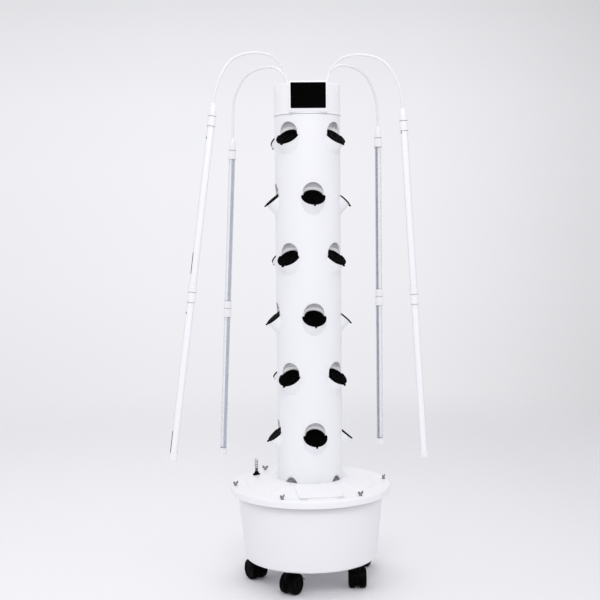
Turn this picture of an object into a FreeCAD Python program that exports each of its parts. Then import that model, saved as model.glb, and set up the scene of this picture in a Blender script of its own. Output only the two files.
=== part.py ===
import FreeCAD, Part
import Sketcher
import math
import os

# Vertical planter tower: a round tub on five casters, a lid, a pipe column with six
# rows of four slanted pots, a top cap with a control screen, and four arms with light bars.
# Millimetres, +Z up. The origin is on the floor under the column axis; the front
# (lid hatch and the even rows of pots) looks along -Y.

os.makedirs("parts", exist_ok=True)
doc = FreeCAD.newDocument("planter_tower")
sheet = doc.addObject("Spreadsheet::Sheet", "sizes")
V = FreeCAD.Vector
Rotation = FreeCAD.Rotation
Placement = FreeCAD.Placement


# Sizes: every size is a cell of the sheet, and every sum of sizes keeps its expression.

class Dim:
    """A size or a sum of sizes: the number and the expression that gives it."""

    def __init__(self, value, text):
        self.value = float(value)
        self.text = text

    def _join(self, other, sign, flip=False):
        a, b = self, dim(other)
        if flip:
            a, b = b, a
        value = {"+": a.value + b.value, "-": a.value - b.value, "*": a.value * b.value}[sign]
        return Dim(value, "(%s %s %s)" % (a.text, sign, b.text))

    def __add__(self, other):
        return self._join(other, "+")

    def __radd__(self, other):
        return self._join(other, "+", True)

    def __sub__(self, other):
        return self._join(other, "-")

    def __rsub__(self, other):
        return self._join(other, "-", True)

    def __mul__(self, other):
        return self._join(other, "*")

    def __rmul__(self, other):
        return self._join(other, "*", True)

    def __neg__(self):
        return Dim(-self.value, "(0 - %s)" % self.text)


def dim(number):
    """The number as a Dim."""
    if isinstance(number, Dim):
        return number
    return Dim(number, "(0 - %r)" % abs(float(number)) if number < 0 else repr(float(number)))


def size(name, value):
    """A new row of the sheet: its name, its value and the alias that sub-parts refer to."""
    size.row += 1
    sheet.set("A%d" % size.row, name)
    sheet.set("B%d" % size.row, str(value))
    sheet.setAlias("B%d" % size.row, name)
    return Dim(value, "sizes." + name)


size.row = 0


def bind(item, prop, number):
    """Give a property its value and the expression that keeps it."""
    number = dim(number)
    if "." not in prop:
        setattr(item, prop, number.value)
    item.setExpression(prop, number.text)


# Base: floor to lid. The tub, the lid and the rings of screws and casters follow the
# flange, so a wider flange moves them all.
FLOOR_GAP = size("tub_height_above_floor", 74)
RIM_RADIUS = size("tub_flange_radius", 243)
FLANGE_OUT = size("tub_flange_width", 17)
TUB_HIGH = RIM_RADIUS - FLANGE_OUT
TUB_TAPER = size("tub_taper", 22)
TUB_LOW = TUB_HIGH - TUB_TAPER
TUB_WALL = size("tub_wall", 4)
TUB_CORNER = size("tub_corner_radius", 9)
BITE = size("fused_overlap", 0.5)
BOSS_R = size("caster_boss_radius", 12)
BOSS_UP = size("caster_boss_height", 16)
RIM_TOP = size("tub_flange_top", 292.5)
RIM_THICK = size("tub_flange_thickness", 4)
LID_THICK = size("lid_thickness", 3)
LID_OVER = size("lid_overhang", 5.5)
LID_RADIUS = RIM_RADIUS + LID_OVER
LID_CORNER = size("lid_edge_radius", 5.5)
SKIRT_LOW = size("lid_skirt_bottom", 279)
COLLAR_TOP = size("lid_collar_top", 320)
COLLAR_RADIUS = size("lid_collar_radius", 108)
FLAT_RIM = size("lid_flat_rim", 38)
SLOPE_RADIUS = RIM_RADIUS - FLAT_RIM
LEDGE_TOP = size("column_ledge_height", 285)
PAD_RISE = size("lid_pad_rise", 4)
PAD_IN = size("lid_pad_inner_radius", 113)
PAD_INSET = size("lid_pad_inset", 7)
PAD_OUT = SLOPE_RADIUS - PAD_INSET
PAD_EDGE = size("lid_pad_edge", 3)
PAD_SWEEP = size("lid_pad_sweep", 104)
BACK_SWEEP = size("lid_back_pad_sweep", 36)
HATCH_HALF = size("hatch_half_width", 68)
HATCH_INSET = size("hatch_inset", 35)
HATCH_OUT = RIM_RADIUS - HATCH_INSET
HATCH_IN = size("hatch_inner_distance", 110)
HATCH_ROUND = size("hatch_corner_radius", 18)
HATCH_LAP = size("hatch_overlap", 4)
HATCH_SHELF = size("hatch_shelf", 12)
NOTCH_HALF = size("finger_notch_half_width", 12)
NOTCH_DEEP = size("finger_notch_depth", 6)
HATCH_GAP = size("hatch_plug_clearance", 0.4)
SEAT_GAP = size("seat_clearance", 0.3)

# Column and pots.
COLUMN_R = size("column_radius", 100)
COLUMN_WALL = size("column_wall", 3.5)
COLUMN_TOP = size("column_top", 1428.3)
ROW_TOP = size("top_row_height", 1362.7)
ROW_PITCH = size("row_pitch", 180.65)
MOUTH_ROW = size("foot_mouth_height", 293.5)
POT_TILT = size("pot_tilt", 40)
POT_OUT = size("pot_centre_distance", 99.5)
BORE_R = size("pot_bore_radius", 28.3)
BULGE_R = size("pot_bulge_radius", 35.5)
BULGE_LOW = size("pot_bulge_lower_radius", 34)
BULGE_LONG = size("pot_bulge_length", 50)
BORE_UP = size("pot_bore_reach", 70)
COLLAR_R = size("pot_collar_radius", 31)
COLLAR_UP = size("pot_collar_rise", 11)
COLLAR_DOWN = size("pot_collar_depth", 30)
POT_GAP = size("pot_bore_clearance", 0.5)
PLATE_R = size("pot_plate_radius", 36.5)
PLATE_THICK = size("pot_plate_thickness", 2.6)
PLATE_EDGE = size("pot_plate_edge", 4)
CUP_TOP = size("pot_cup_top_radius", 25.5)
CUP_LOW = size("pot_cup_bottom_radius", 19)
CUP_DEEP = size("pot_cup_depth", 62)
CUP_WALL = size("pot_cup_wall", 1.6)
SLOT_HALF = size("cup_slot_half_width", 2.6)
SLOT_LOW = size("cup_slot_above_bottom", 8)
SLOT_HIGH = size("cup_slot_below_plate", 12)
DRAIN_R = size("cup_drain_radius", 6)
TAB_HALF = size("pot_tab_half_width", 2.5)
TAB_LONG = size("pot_tab_length", 6)
RIB_HALF = size("pot_rib_half_width", 1.3)
RIB_UP = size("pot_rib_rise", 1.2)
BUTTON_R = size("pot_button_radius", 3.6)
BUTTON_UP = size("pot_button_rise", 1.3)

# Water parts, wing screws and the level gauge.
PUMP_W = size("pump_width", 60)
PUMP_D = size("pump_depth", 50)
PUMP_H = size("pump_height", 60)
PUMP_CORNER = size("pump_corner_radius", 6)
OUTLET_WALL = size("pump_outlet_wall", 3)
OUTLET_UP = size("pump_outlet_height", 13)
RISER_R = size("riser_radius", 8)
RISER_WALL = size("riser_wall", 1.5)
SPRAY_LOW = size("spray_plate_height", 1396)
SPRAY_THICK = size("spray_plate_thickness", 2.5)
SPRAY_RIM = size("spray_rim_height", 7)
SPRAY_GAP = size("spray_plate_clearance", 3.5)
SPRAY_HUB = size("spray_hub_height", 12)
DRIP_R = size("drip_hole_radius", 2)
DRIP_IN = size("drip_hole_from_edge", 12)
SCREW_INSET = size("screw_inset", 10)
SCREW_RING = RIM_RADIUS - SCREW_INSET
SHANK_R = size("screw_shank_radius", 2.5)
SHANK_GAP = size("screw_thread_clearance", 0.1)
SCREW_WAY = size("lid_screw_hole_radius", 3)
HUB_R = size("screw_hub_radius", 3.4)
HUB_UP = size("screw_hub_height", 7)
FOOT_R = size("screw_foot_radius", 5)
FOOT_UP = size("screw_foot_height", 4)
WING_R = size("screw_wing_radius", 5)
WING_THICK = size("screw_wing_thickness", 2.4)
WING_OUT = size("screw_wing_distance", 5.2)
WING_UP = size("screw_wing_height", 9)
GAUGE_INSET = size("gauge_inset", 15)
GAUGE_RING = SLOPE_RADIUS - GAUGE_INSET
GAUGE_ANGLE = size("gauge_angle", -125)
GAUGE_RISE = size("gauge_boss_rise", 6.4433)
GAUGE_BOSS = size("gauge_boss_radius", 13.5)
GROMMET_R = size("grommet_radius", 11.5)
GROMMET_UP = size("grommet_height", 12)
GROMMET_DOWN = size("grommet_depth", 9)
GAUGE_BORE = size("gauge_bore_radius", 7)
GAUGE_TUBE = size("gauge_tube_radius", 5)
GAUGE_WALL = size("gauge_tube_wall", 1.2)
GAUGE_UP = size("gauge_tube_above_seat", 55)
GAUGE_LONG = size("gauge_tube_length", 104)
FLOAT_R = size("float_radius", 14)
FLOAT_UP = size("float_height", 26)
FLOAT_EDGE = size("float_edge", 3)
ROD_R = size("float_rod_radius", 1.5)
BEAD_LONG = size("float_bead_length", 6)
FLOAT_TRAVEL = size("float_travel", 30)

# Head: cap, panel box and screen.
CAP_R = size("cap_radius", 101)
CAP_LIP = size("cap_lip_radius", 102.5)
CAP_TOP = size("cap_top", 1521)
CAP_WALL = size("cap_wall", 3)
CAP_EDGE = size("cap_edge_radius", 2.5)
LIP_UP = size("cap_lip_height", 4.5)
NOTCH_W = size("cap_notch_width", 5)
NOTCH_IN = size("cap_notch_depth", 2)
NOTCH_LONG = size("cap_notch_length", 24)
CAP_TURN = size("cap_turn", -7.3)
SPIGOT_R = size("cap_spigot_radius", 96.2)
SPIGOT_LOW = size("cap_spigot_bottom", 1411)
BOX_HALF = size("panel_half_width", 57)
BOX_OUT = size("panel_face_distance", 106)
BOX_TOP = size("panel_top", 1524)
BOX_LOW = size("panel_bottom", 1433)
BOX_ROOF = size("panel_roof_depth", 20)
BOX_DEEP = size("panel_depth", 46)
BOX_WALL = size("panel_wall", 4)
BOX_EDGE = size("panel_edge_radius", 3)
SCREEN_W = size("screen_width", 104.4)
SCREEN_H = size("screen_height", 75.6)
SCREEN_LOW = size("screen_bottom", 1443.6)
SCREEN_DEEP = size("screen_depth", 3.4)
SCREEN_GAP = size("screen_clearance", 0.15)
SOCKET_X = size("arm_socket_side", 58)
SOCKET_Y = size("arm_socket_front", 28)
SOCKET_FLOOR = size("arm_socket_floor", 1494)
SOCKET_R = size("arm_socket_boss_radius", 9)
SLEEVE_UP = size("arm_sleeve_above_panel", 7)
ARM_LIFT = size("arm_floor_clearance", 0.3)

# Arms and light bars.
ARM_R = size("arm_pipe_radius", 4.3)
STEM_R = size("arm_stem_radius", 5)
RUN_GAP = size("running_clearance", 0.06)
ARM_WALL = size("arm_pipe_wall", 1.2)
ARCH_ROOT = size("arm_arch_root", 1515)
ARM_1_RISE = size("arm_1_rise", 94)
ARM_1_REACH = size("arm_1_reach", 255.9)
ARM_1_BOOT = size("arm_1_boot_height", 1453)
ARM_2_RISE = size("arm_2_rise", 76)
ARM_2_REACH = size("arm_2_reach", 240.7)
ARM_2_BOOT = size("arm_2_boot_height", 1381)
ARM_3_RISE = size("arm_3_rise", 80)
ARM_3_REACH = size("arm_3_reach", 238.8)
ARM_3_BOOT = size("arm_3_boot_height", 1416.5)
ARM_4_RISE = size("arm_4_rise", 89)
ARM_4_REACH = size("arm_4_reach", 237.8)
ARM_4_BOOT = size("arm_4_boot_height", 1441)
BOOT_TIP = size("boot_tip_radius", 6.5)
BOOT_R = size("boot_radius", 10)
BOOT_LONG = size("boot_length", 39)
NECK_LONG = size("boot_neck_length", 16)
RING_R = size("light_collar_radius", 12)
RING_LONG = size("light_collar_length", 29)
BAR_R = size("light_tube_radius", 10.3)
BAR_WALL = size("light_tube_wall", 1.4)
BAR_LONG = size("light_length", 970)
JOIN_LONG = size("light_joiner_length", 52)
END_LONG = size("light_end_length", 22)

# Casters.
CAST_INSET = size("caster_inset", 20)
CAST_RING = TUB_LOW - CAST_INSET
CAST_START = size("caster_first_angle", -31.6)
WHEEL_R = size("wheel_radius", 30)
WHEEL_IN = size("wheel_inner_face", 7)
WHEEL_OUT = size("wheel_outer_face", 27)
TRAIL = size("caster_trail", 20)
PIN_R = size("caster_pin_radius", 4)
PIN_LONG = size("caster_pin_length", 18)
FENDER_UP = size("fender_above_axle", 9)
FENDER_IN = size("fender_inside_wheel_face", 4)
HOOD_BOSS = size("hood_boss_radius", 10)
HOOD_LIFT = size("hood_top_clearance", 0.3)
LIP_PAST = size("hood_lip_past_wheel", 2)
WEB_IN = size("web_inside_wheel_radius", 3)
HOOD_GAP = size("hood_clearance", 0.9)
HOOD_R = size("hood_radius", 33)
WASHER = size("caster_washer_thickness", 2)
WASHER_R = size("caster_washer_radius", 11)
WEB_GAP = size("wheel_to_web_gap", 0.6)

# The half size of a cutting block that reaches past the piece it trims.
FAR = size("cutting_block_half_size", 150)


# Helpers for primitives, sketches and copies.

def cylinder(name, radius, height, low, x=0, y=0):
    """An upright cylinder standing at height low."""
    item = doc.addObject("Part::Cylinder", name)
    bind(item, "Radius", radius)
    bind(item, "Height", height)
    return at(item, x, y, low)


def at(item, x, y, z):
    """Place an object by its three coordinates."""
    item.Placement = Placement(V(dim(x).value, dim(y).value, dim(z).value), Rotation())
    for axis, number in (("x", x), ("y", y), ("z", z)):
        item.setExpression("Placement.Base." + axis, dim(number).text)
    return item


def block(name, low, high):
    """A box between two corners."""
    item = doc.addObject("Part::Box", name)
    for prop, a, b in zip(("Length", "Width", "Height"), low, high):
        bind(item, prop, dim(b) - dim(a))
    return at(item, *low)


def cone(name, r_low, r_high, height, low):
    """An upright cone frustum standing at height low."""
    item = doc.addObject("Part::Cone", name)
    bind(item, "Radius1", r_low)
    bind(item, "Radius2", r_high)
    bind(item, "Height", height)
    return at(item, 0, 0, low)


def fuse(name, *items):
    """The union of the objects."""
    item = doc.addObject("Part::MultiFuse", name)
    item.Shapes = list(items)
    item.Refine = True
    return item


def cut(name, base, *tools):
    """The base object without the tools."""
    tool = tools[0] if len(tools) == 1 else fuse(name + "_tools", *tools)
    item = doc.addObject("Part::Cut", name)
    item.Base = base
    item.Tool = tool
    item.Refine = True
    return item


def common(name, a, b):
    """The part that two objects share."""
    item = doc.addObject("Part::Common", name)
    item.Base = a
    item.Tool = b
    item.Refine = True
    return item


def solid(name, shape, place=None):
    """A shape made by Part functions, as an object."""
    item = doc.addObject("Part::Feature", name)
    item.Shape = shape
    if place is not None:
        item.Placement = place
    return item


def copy_of(name, source, place):
    """A copy of another object at a place of its own."""
    item = doc.addObject("Part::Compound", name)
    item.Links = [source]
    item.Placement = place
    return item


def rounded(name, base, radius, chosen):
    """The base with the chosen edges rounded; chosen takes an edge and says yes or no."""
    doc.recompute()
    item = doc.addObject("Part::Fillet", name)
    item.Base = base
    r = dim(radius).value
    item.Edges = [(i + 1, r, r) for i, e in enumerate(base.Shape.Edges) if chosen(e)]
    return item


def move_to(item, x, y):
    """Move a finished body sideways."""
    item.Placement = Placement(V(dim(x).value, dim(y).value, 0), Rotation())
    item.setExpression("Placement.Base.x", dim(x).text)
    item.setExpression("Placement.Base.y", dim(y).text)


def sine(degrees):
    """The sine of an angle, as a size."""
    return Dim(math.sin(math.radians(degrees.value)), "sin(%s * 1 deg)" % degrees.text)


def cosine(degrees):
    """The cosine of an angle, as a size."""
    return Dim(math.cos(math.radians(degrees.value)), "cos(%s * 1 deg)" % degrees.text)


def body(name):
    """An empty body with its label."""
    item = doc.addObject("PartDesign::Body", name)
    item.Label = name
    return item


def origin_part(item, role):
    """One plane or axis of the body's own origin."""
    return next(f for f in item.Origin.OriginFeatures if f.Role == role)


def sketch(item, role, name, lift=0):
    """An empty sketch on an origin plane, lifted along the plane's normal."""
    sk = item.newObject("Sketcher::SketchObject", name)
    sk.AttachmentSupport = (origin_part(item, role), [""])
    sk.MapMode = "FlatFace"
    sk.AttachmentOffset = Placement(V(0, 0, dim(lift).value), Rotation())
    sk.setExpression("AttachmentOffset.Base.z", dim(lift).text)
    return sk


def hold(sk, geo, pos, x, y):
    """Hold a point of the sketch by its distances from the origin."""
    for kind, axis, number in (("DistanceX", -2, dim(x)), ("DistanceY", -1, dim(y))):
        if abs(number.value) < 1e-9:
            sk.addConstraint(Sketcher.Constraint("PointOnObject", geo, pos, axis))
        else:
            n = sk.addConstraint(Sketcher.Constraint(kind, -1, 1, geo, pos, number.value))
            sk.setExpression("Constraints[%d]" % n, number.text)


def outline(sk, points):
    """A closed outline through the points."""
    start = sk.GeometryCount
    count = len(points)
    flat = [V(dim(x).value, dim(y).value, 0) for x, y in points]
    for i in range(count):
        sk.addGeometry(Part.LineSegment(flat[i], flat[(i + 1) % count]), False)
    for i in range(count):
        sk.addConstraint(Sketcher.Constraint("Coincident", start + i, 2, start + (i + 1) % count, 1))
    for i, (x, y) in enumerate(points):
        hold(sk, start + i, 1, x, y)


def circle(sk, x, y, radius):
    """A circle with its centre and radius held."""
    geo = sk.addGeometry(Part.Circle(V(dim(x).value, dim(y).value, 0), V(0, 0, 1), dim(radius).value), False)
    hold(sk, geo, 3, x, y)
    n = sk.addConstraint(Sketcher.Constraint("Radius", geo, dim(radius).value))
    sk.setExpression("Constraints[%d]" % n, dim(radius).text)


def turned(item, name, points, angle=360, role="XZ_Plane"):
    """Revolve an outline of radius and height around Z; less than 360 is shared to both sides."""
    sk = sketch(item, role, name + "_outline")
    outline(sk, points)
    rev = item.newObject("PartDesign::Revolution", name)
    rev.Profile = sk
    rev.ReferenceAxis = (origin_part(item, "Z_Axis"), [""])
    bind(rev, "Angle", angle)
    rev.Midplane = dim(angle).value < 360
    sk.Visibility = False
    return rev


def pocketed(item, name, role, lift, depth, draw, reverse=False):
    """Cut a sketch into the body; draw fills the sketch, and the volume has to go down."""
    doc.recompute()
    before = item.Shape.Volume
    sk = sketch(item, role, name + "_outline", lift)
    draw(sk)
    pocket = item.newObject("PartDesign::Pocket", name)
    pocket.Profile = sk
    bind(pocket, "Length", depth)
    pocket.Reversed = reverse
    doc.recompute()
    if item.Shape.Volume > before - 1e-3:
        raise RuntimeError(name + " does not cut")
    return pocket


def padded(item, name, role, lift, height, draw, reverse=False):
    """Add a sketch to the body as a pad."""
    sk = sketch(item, role, name + "_outline", lift)
    draw(sk)
    pad = item.newObject("PartDesign::Pad", name)
    pad.Profile = sk
    bind(pad, "Length", height)
    pad.Reversed = reverse
    return pad


def flat_ring(edge, height, radius):
    """Whether an edge is the level circle of this height and radius round Z."""
    box = edge.BoundBox
    level = abs(box.ZMax - dim(height).value) < 0.01 and box.ZLength < 0.01
    return level and abs(box.XLength - 2 * dim(radius).value) < 0.01


def soften(item, name, radius, chosen, kind="Fillet", prop="Radius"):
    """Round (or chamfer) the chosen edges of the body."""
    doc.recompute()
    base = item.Tip
    names = ["Edge%d" % (i + 1) for i, e in enumerate(base.Shape.Edges) if chosen(e)]
    if not names:
        raise RuntimeError(name + " finds no edge")
    feature = item.newObject("PartDesign::" + kind, name)
    feature.Base = (base, names)
    bind(feature, prop, radius)
    return feature


def ringed(item, name, features, count):
    """Repeat features evenly around Z."""
    pattern = item.newObject("PartDesign::PolarPattern", name)
    pattern.Originals = features
    pattern.Axis = (origin_part(item, "Z_Axis"), [""])
    pattern.Angle = 360
    pattern.Occurrences = count
    item.Tip = pattern
    return pattern


def aim(degrees):
    """Unit direction seen from above: 0 is the front (-Y), positive is towards +X."""
    a = math.radians(degrees)
    return V(math.sin(a), -math.cos(a), 0)


def spot(radius, degrees):
    """The two coordinates of a point at a radius and an angle from the front, as sizes."""
    radius, degrees = dim(radius), dim(degrees)
    s, c = math.sin(math.radians(degrees.value)), math.cos(math.radians(degrees.value))
    x = Dim(radius.value * s, "(%s * sin(%s * 1 deg))" % (radius.text, degrees.text))
    y = Dim(-radius.value * c, "(0 - %s * cos(%s * 1 deg))" % (radius.text, degrees.text))
    return x, y


PARTS = {}


def part(item, name):
    """Name an object as a finished sub-part."""
    item.Label = name
    PARTS[name] = item
    return item


# Tub: one shell with an out-turned flange under the lid and five bosses for the casters.

tub = body("tub")
tub_mid = TUB_HIGH - TUB_WALL
turned(tub, "tub_shell", [
    (0, FLOOR_GAP),
    (TUB_LOW, FLOOR_GAP),
    (TUB_HIGH, RIM_TOP - RIM_THICK),
    (RIM_RADIUS, RIM_TOP - RIM_THICK),
    (RIM_RADIUS, RIM_TOP),
    (tub_mid, RIM_TOP),
    (TUB_LOW - TUB_WALL, FLOOR_GAP + TUB_WALL),
    (0, FLOOR_GAP + TUB_WALL),
])
doc.recompute()
soften(tub, "tub_bottom_corner", TUB_CORNER, lambda e: flat_ring(e, FLOOR_GAP, TUB_LOW))
boss_x, boss_y = spot(CAST_RING, CAST_START)
boss = padded(tub, "caster_boss", "XY_Plane", FLOOR_GAP + TUB_WALL - BITE, BOSS_UP + BITE,
              lambda sk: circle(sk, boss_x, boss_y, BOSS_R))
ringed(tub, "caster_bosses", [boss], 5)
socket = pocketed(tub, "caster_socket", "XY_Plane", FLOOR_GAP, BOSS_UP,
                  lambda sk: circle(sk, boss_x, boss_y, STEM_R + RUN_GAP), reverse=True)
ringed(tub, "caster_sockets", [socket], 5)
screw_x, screw_y = spot(SCREW_RING, 30)
thread = pocketed(tub, "screw_hole", "XY_Plane", RIM_TOP, RIM_THICK + 2,
                  lambda sk: circle(sk, screw_x, screw_y, SHANK_R + SHANK_GAP))
ringed(tub, "screw_holes", [thread], 6)
part(tub, "tub")

# Casters: the stem pins pressed into the tub, a hood that swivels on each pin, and a pair
# of wheels on one axle. Each caster trails its pin in the direction it has in the photo.

stems = body("caster_stems")
stem_x, stem_y = spot(CAST_RING, CAST_START)
upper = padded(stems, "upper_pin", "XY_Plane", FLOOR_GAP, BOSS_UP - 1,
               lambda sk: circle(sk, stem_x, stem_y, STEM_R))
washer = padded(stems, "washer", "XY_Plane", FLOOR_GAP - WASHER, WASHER,
                lambda sk: circle(sk, stem_x, stem_y, WASHER_R))
lower = padded(stems, "lower_pin", "XY_Plane", FLOOR_GAP - WASHER - PIN_LONG, PIN_LONG,
               lambda sk: circle(sk, stem_x, stem_y, PIN_R))
ringed(stems, "stem_ring", [upper, washer, lower], 5)
part(stems, "caster_stems")

# The caster template: the pin is on Z and the axle lies behind it, towards +X.
PIN_TOP = FLOOR_GAP - WASHER
PIN_LOW = PIN_TOP - PIN_LONG
WEB_HALF = WHEEL_IN - WEB_GAP


def lying(name, radius, half, back=TRAIL, height=WHEEL_R):
    """A cylinder lying along Y, both ways from the middle plane."""
    item = doc.addObject("Part::Cylinder", name)
    bind(item, "Radius", radius)
    bind(item, "Height", 2 * dim(half))
    item.Placement = Placement(V(), Rotation(V(1, 0, 0), 90))
    for axis, number in (("x", back), ("y", dim(half)), ("z", height)):
        item.setExpression("Placement.Base." + axis, dim(number).text)
    return item


fender_low = WHEEL_R + FENDER_UP
lip_edge = TRAIL + HOOD_R - 1.2
fender = common("fender", lying("fender_round", HOOD_R, WHEEL_OUT - FENDER_IN),
                block("fender_space", (-FAR, -FAR, fender_low), (FAR, FAR, FLOOR_GAP)))
hood_raw = fuse(
    "hood_raw", fender,
    cylinder("hood_boss", HOOD_BOSS, PIN_LONG - HOOD_LIFT + 4, PIN_LOW - 4),
    lying("hood_web", WHEEL_R - WEB_IN, WEB_HALF),
    block("hood_neck", (1 - HOOD_BOSS, -WEB_HALF, PIN_LOW - 12), (TRAIL, WEB_HALF, PIN_LOW + 3)),
    block("hood_lip", (lip_edge - 2.2, -WHEEL_OUT - LIP_PAST, fender_low),
          (lip_edge, WHEEL_OUT + LIP_PAST, fender_low + 2)))
space_in = WEB_HALF
space_out = WHEEL_OUT + 4
spaces = []
for side in (-1, 1):
    space = lying("wheel_space", WHEEL_R + HOOD_GAP, (space_out - space_in) * 0.5)
    far_end = space_out if side > 0 else -space_in
    space.setExpression("Placement.Base.y", far_end.text)
    spaces.append(space)
hood_master = cut("hood_master", hood_raw, *spaces,
                  cylinder("pin_bore", PIN_R + RUN_GAP, PIN_LONG + 12, PIN_LOW - BITE),
                  lying("axle_bore", PIN_R + RUN_GAP, WHEEL_OUT))

wheels_master = body("wheels_master")
for side in (1, -1):
    turned(wheels_master, "wheel_left" if side > 0 else "wheel_right", [
        (0, side * WHEEL_IN),
        (WHEEL_R, side * WHEEL_IN),
        (WHEEL_R, side * (WHEEL_OUT - 5)),
        (WHEEL_R - 1.5, side * (WHEEL_OUT - 2)),
        (WHEEL_R - 5, side * WHEEL_OUT),
        (WHEEL_R - 9, side * WHEEL_OUT),
        (WHEEL_R - 11, side * (WHEEL_OUT - 2)),
        (8, side * (WHEEL_OUT - 2)),
        (6, side * WHEEL_OUT),
        (0, side * WHEEL_OUT),
    ])
padded(wheels_master, "axle", "XY_Plane", -WHEEL_IN - 1, 2 * WHEEL_IN + 2, lambda sk: circle(sk, 0, 0, PIN_R))
wheels_laid = copy_of("wheels_laid", wheels_master,
                      Placement(V(TRAIL.value, 0, WHEEL_R.value), Rotation(V(1, 0, 0), 90)))

# The side that each axle lies on, as an angle from +X; the photo shows the first, second and fifth.
HEADINGS = (49.5, 81, 60, 100, -65)
for k, heading in enumerate(HEADINGS):
    pin = aim(CAST_START.value + 72 * k) * CAST_RING.value
    place = Placement(pin, Rotation(V(0, 0, 1), heading))
    part(copy_of("caster_%d_hood" % (k + 1), hood_master, place), "caster_%d_hood" % (k + 1))
    part(copy_of("caster_%d_wheels" % (k + 1), wheels_laid, place), "caster_%d_wheels" % (k + 1))

# Lid: rim with a skirt, a slope up to the collar around the column, raised pads on the
# slope, and an opening under the front hatch.

SLOPE_LOW = RIM_TOP + LID_THICK + 1.5


def slope(radius, rise=0):
    """Height of the lid slope at a radius, as a size."""
    share = (SLOPE_RADIUS.value - dim(radius).value) / (SLOPE_RADIUS.value - COLLAR_RADIUS.value)
    value = SLOPE_LOW.value + (COLLAR_TOP.value - SLOPE_LOW.value) * share + dim(rise).value
    text = "(%s + (%s - %s) * (%s - %s) / (%s - %s) + %s)" % (
        SLOPE_LOW.text, COLLAR_TOP.text, SLOPE_LOW.text, SLOPE_RADIUS.text, dim(radius).text,
        SLOPE_RADIUS.text, COLLAR_RADIUS.text, dim(rise).text)
    return Dim(value, text)


lid = body("lid")
column_seat = COLUMN_R + SEAT_GAP
turned(lid, "lid_shell", [
    (COLUMN_R - 7, LEDGE_TOP - LID_THICK),
    (COLUMN_R - 7, LEDGE_TOP),
    (column_seat, LEDGE_TOP),
    (column_seat, COLLAR_TOP),
    (COLLAR_RADIUS, COLLAR_TOP),
    (SLOPE_RADIUS, SLOPE_LOW),
    (SLOPE_RADIUS + 6, RIM_TOP + LID_THICK),
    (LID_RADIUS, RIM_TOP + LID_THICK),
    (LID_RADIUS, SKIRT_LOW),
    (LID_RADIUS - LID_THICK, SKIRT_LOW),
    (LID_RADIUS - LID_THICK, RIM_TOP),
    (SLOPE_RADIUS, RIM_TOP),
    (COLLAR_RADIUS, COLLAR_TOP - LID_THICK),
    (column_seat + LID_THICK, COLLAR_TOP - LID_THICK),
    (column_seat + LID_THICK, LEDGE_TOP - LID_THICK),
])
doc.recompute()
soften(lid, "lid_edge", LID_CORNER, lambda e: flat_ring(e, RIM_TOP + LID_THICK, LID_RADIUS))
pad_outline = [
    (PAD_IN, slope(PAD_IN, -1)),
    (PAD_IN, slope(PAD_IN, PAD_RISE - 1)),
    (PAD_IN + 2, slope(PAD_IN + 2, PAD_RISE)),
    (PAD_OUT - PAD_EDGE, slope(PAD_OUT - PAD_EDGE, PAD_RISE)),
    (PAD_OUT, slope(PAD_OUT, 0)),
    (PAD_OUT, slope(PAD_OUT, -1)),
]
for side, name in ((1, "right_pad"), (-1, "left_pad")):
    turned(lid, name, [(side * x, y) for x, y in pad_outline], PAD_SWEEP)
turned(lid, "back_pad", pad_outline, BACK_SWEEP, "YZ_Plane")

# Level gauge boss on the left pad and the bores through the lid.
GAUGE_X, GAUGE_Y = spot(GAUGE_RING, GAUGE_ANGLE)
GAUGE_SEAT = slope(GAUGE_RING, GAUGE_RISE)
GAUGE_TOP = GAUGE_SEAT + GAUGE_UP
padded(lid, "gauge_boss", "XY_Plane", RIM_TOP + 1, GAUGE_SEAT - RIM_TOP - 1,
       lambda sk: circle(sk, GAUGE_X, GAUGE_Y, GAUGE_BOSS))
pocketed(lid, "gauge_bore", "XY_Plane", GAUGE_SEAT, GAUGE_SEAT - SKIRT_LOW,
         lambda sk: circle(sk, GAUGE_X, GAUGE_Y, GAUGE_BORE))
hole = pocketed(lid, "screw_way", "XY_Plane", RIM_TOP + LID_THICK, LID_THICK + 1,
                lambda sk: circle(sk, screw_x, screw_y, SCREW_WAY))
ringed(lid, "screw_ways", [hole], 6)
hatch_low = HATCH_HALF - HATCH_LAP
pocketed(lid, "hatch_opening", "XY_Plane", COLLAR_TOP, COLLAR_TOP - SKIRT_LOW, lambda sk: outline(sk, [
    (-hatch_low, -(HATCH_OUT - HATCH_LAP)),
    (hatch_low, -(HATCH_OUT - HATCH_LAP)),
    (hatch_low, -(HATCH_IN + HATCH_SHELF)),
    (-hatch_low, -(HATCH_IN + HATCH_SHELF)),
]))
part(lid, "lid")

# Front hatch: a slice of the slope with a raised top, a plug that drops in the opening,
# and a finger notch beside the column.

RIM_FACE = RIM_TOP + LID_THICK


def slope_band(name, inner, low, high):
    """A ring that follows the slope and then the flat rim, between two heights above them."""
    item = body(name)
    outer = HATCH_OUT + 28
    turned(item, name + "_turn", [
        (inner, slope(inner, low)),
        (SLOPE_RADIUS, SLOPE_LOW + low),
        (SLOPE_RADIUS + 6, RIM_FACE + low),
        (outer, RIM_FACE + low),
        (outer, RIM_FACE + high),
        (SLOPE_RADIUS + 6, RIM_FACE + high),
        (SLOPE_RADIUS, SLOPE_LOW + high),
        (inner, slope(inner, high)),
    ])
    return item


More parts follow.
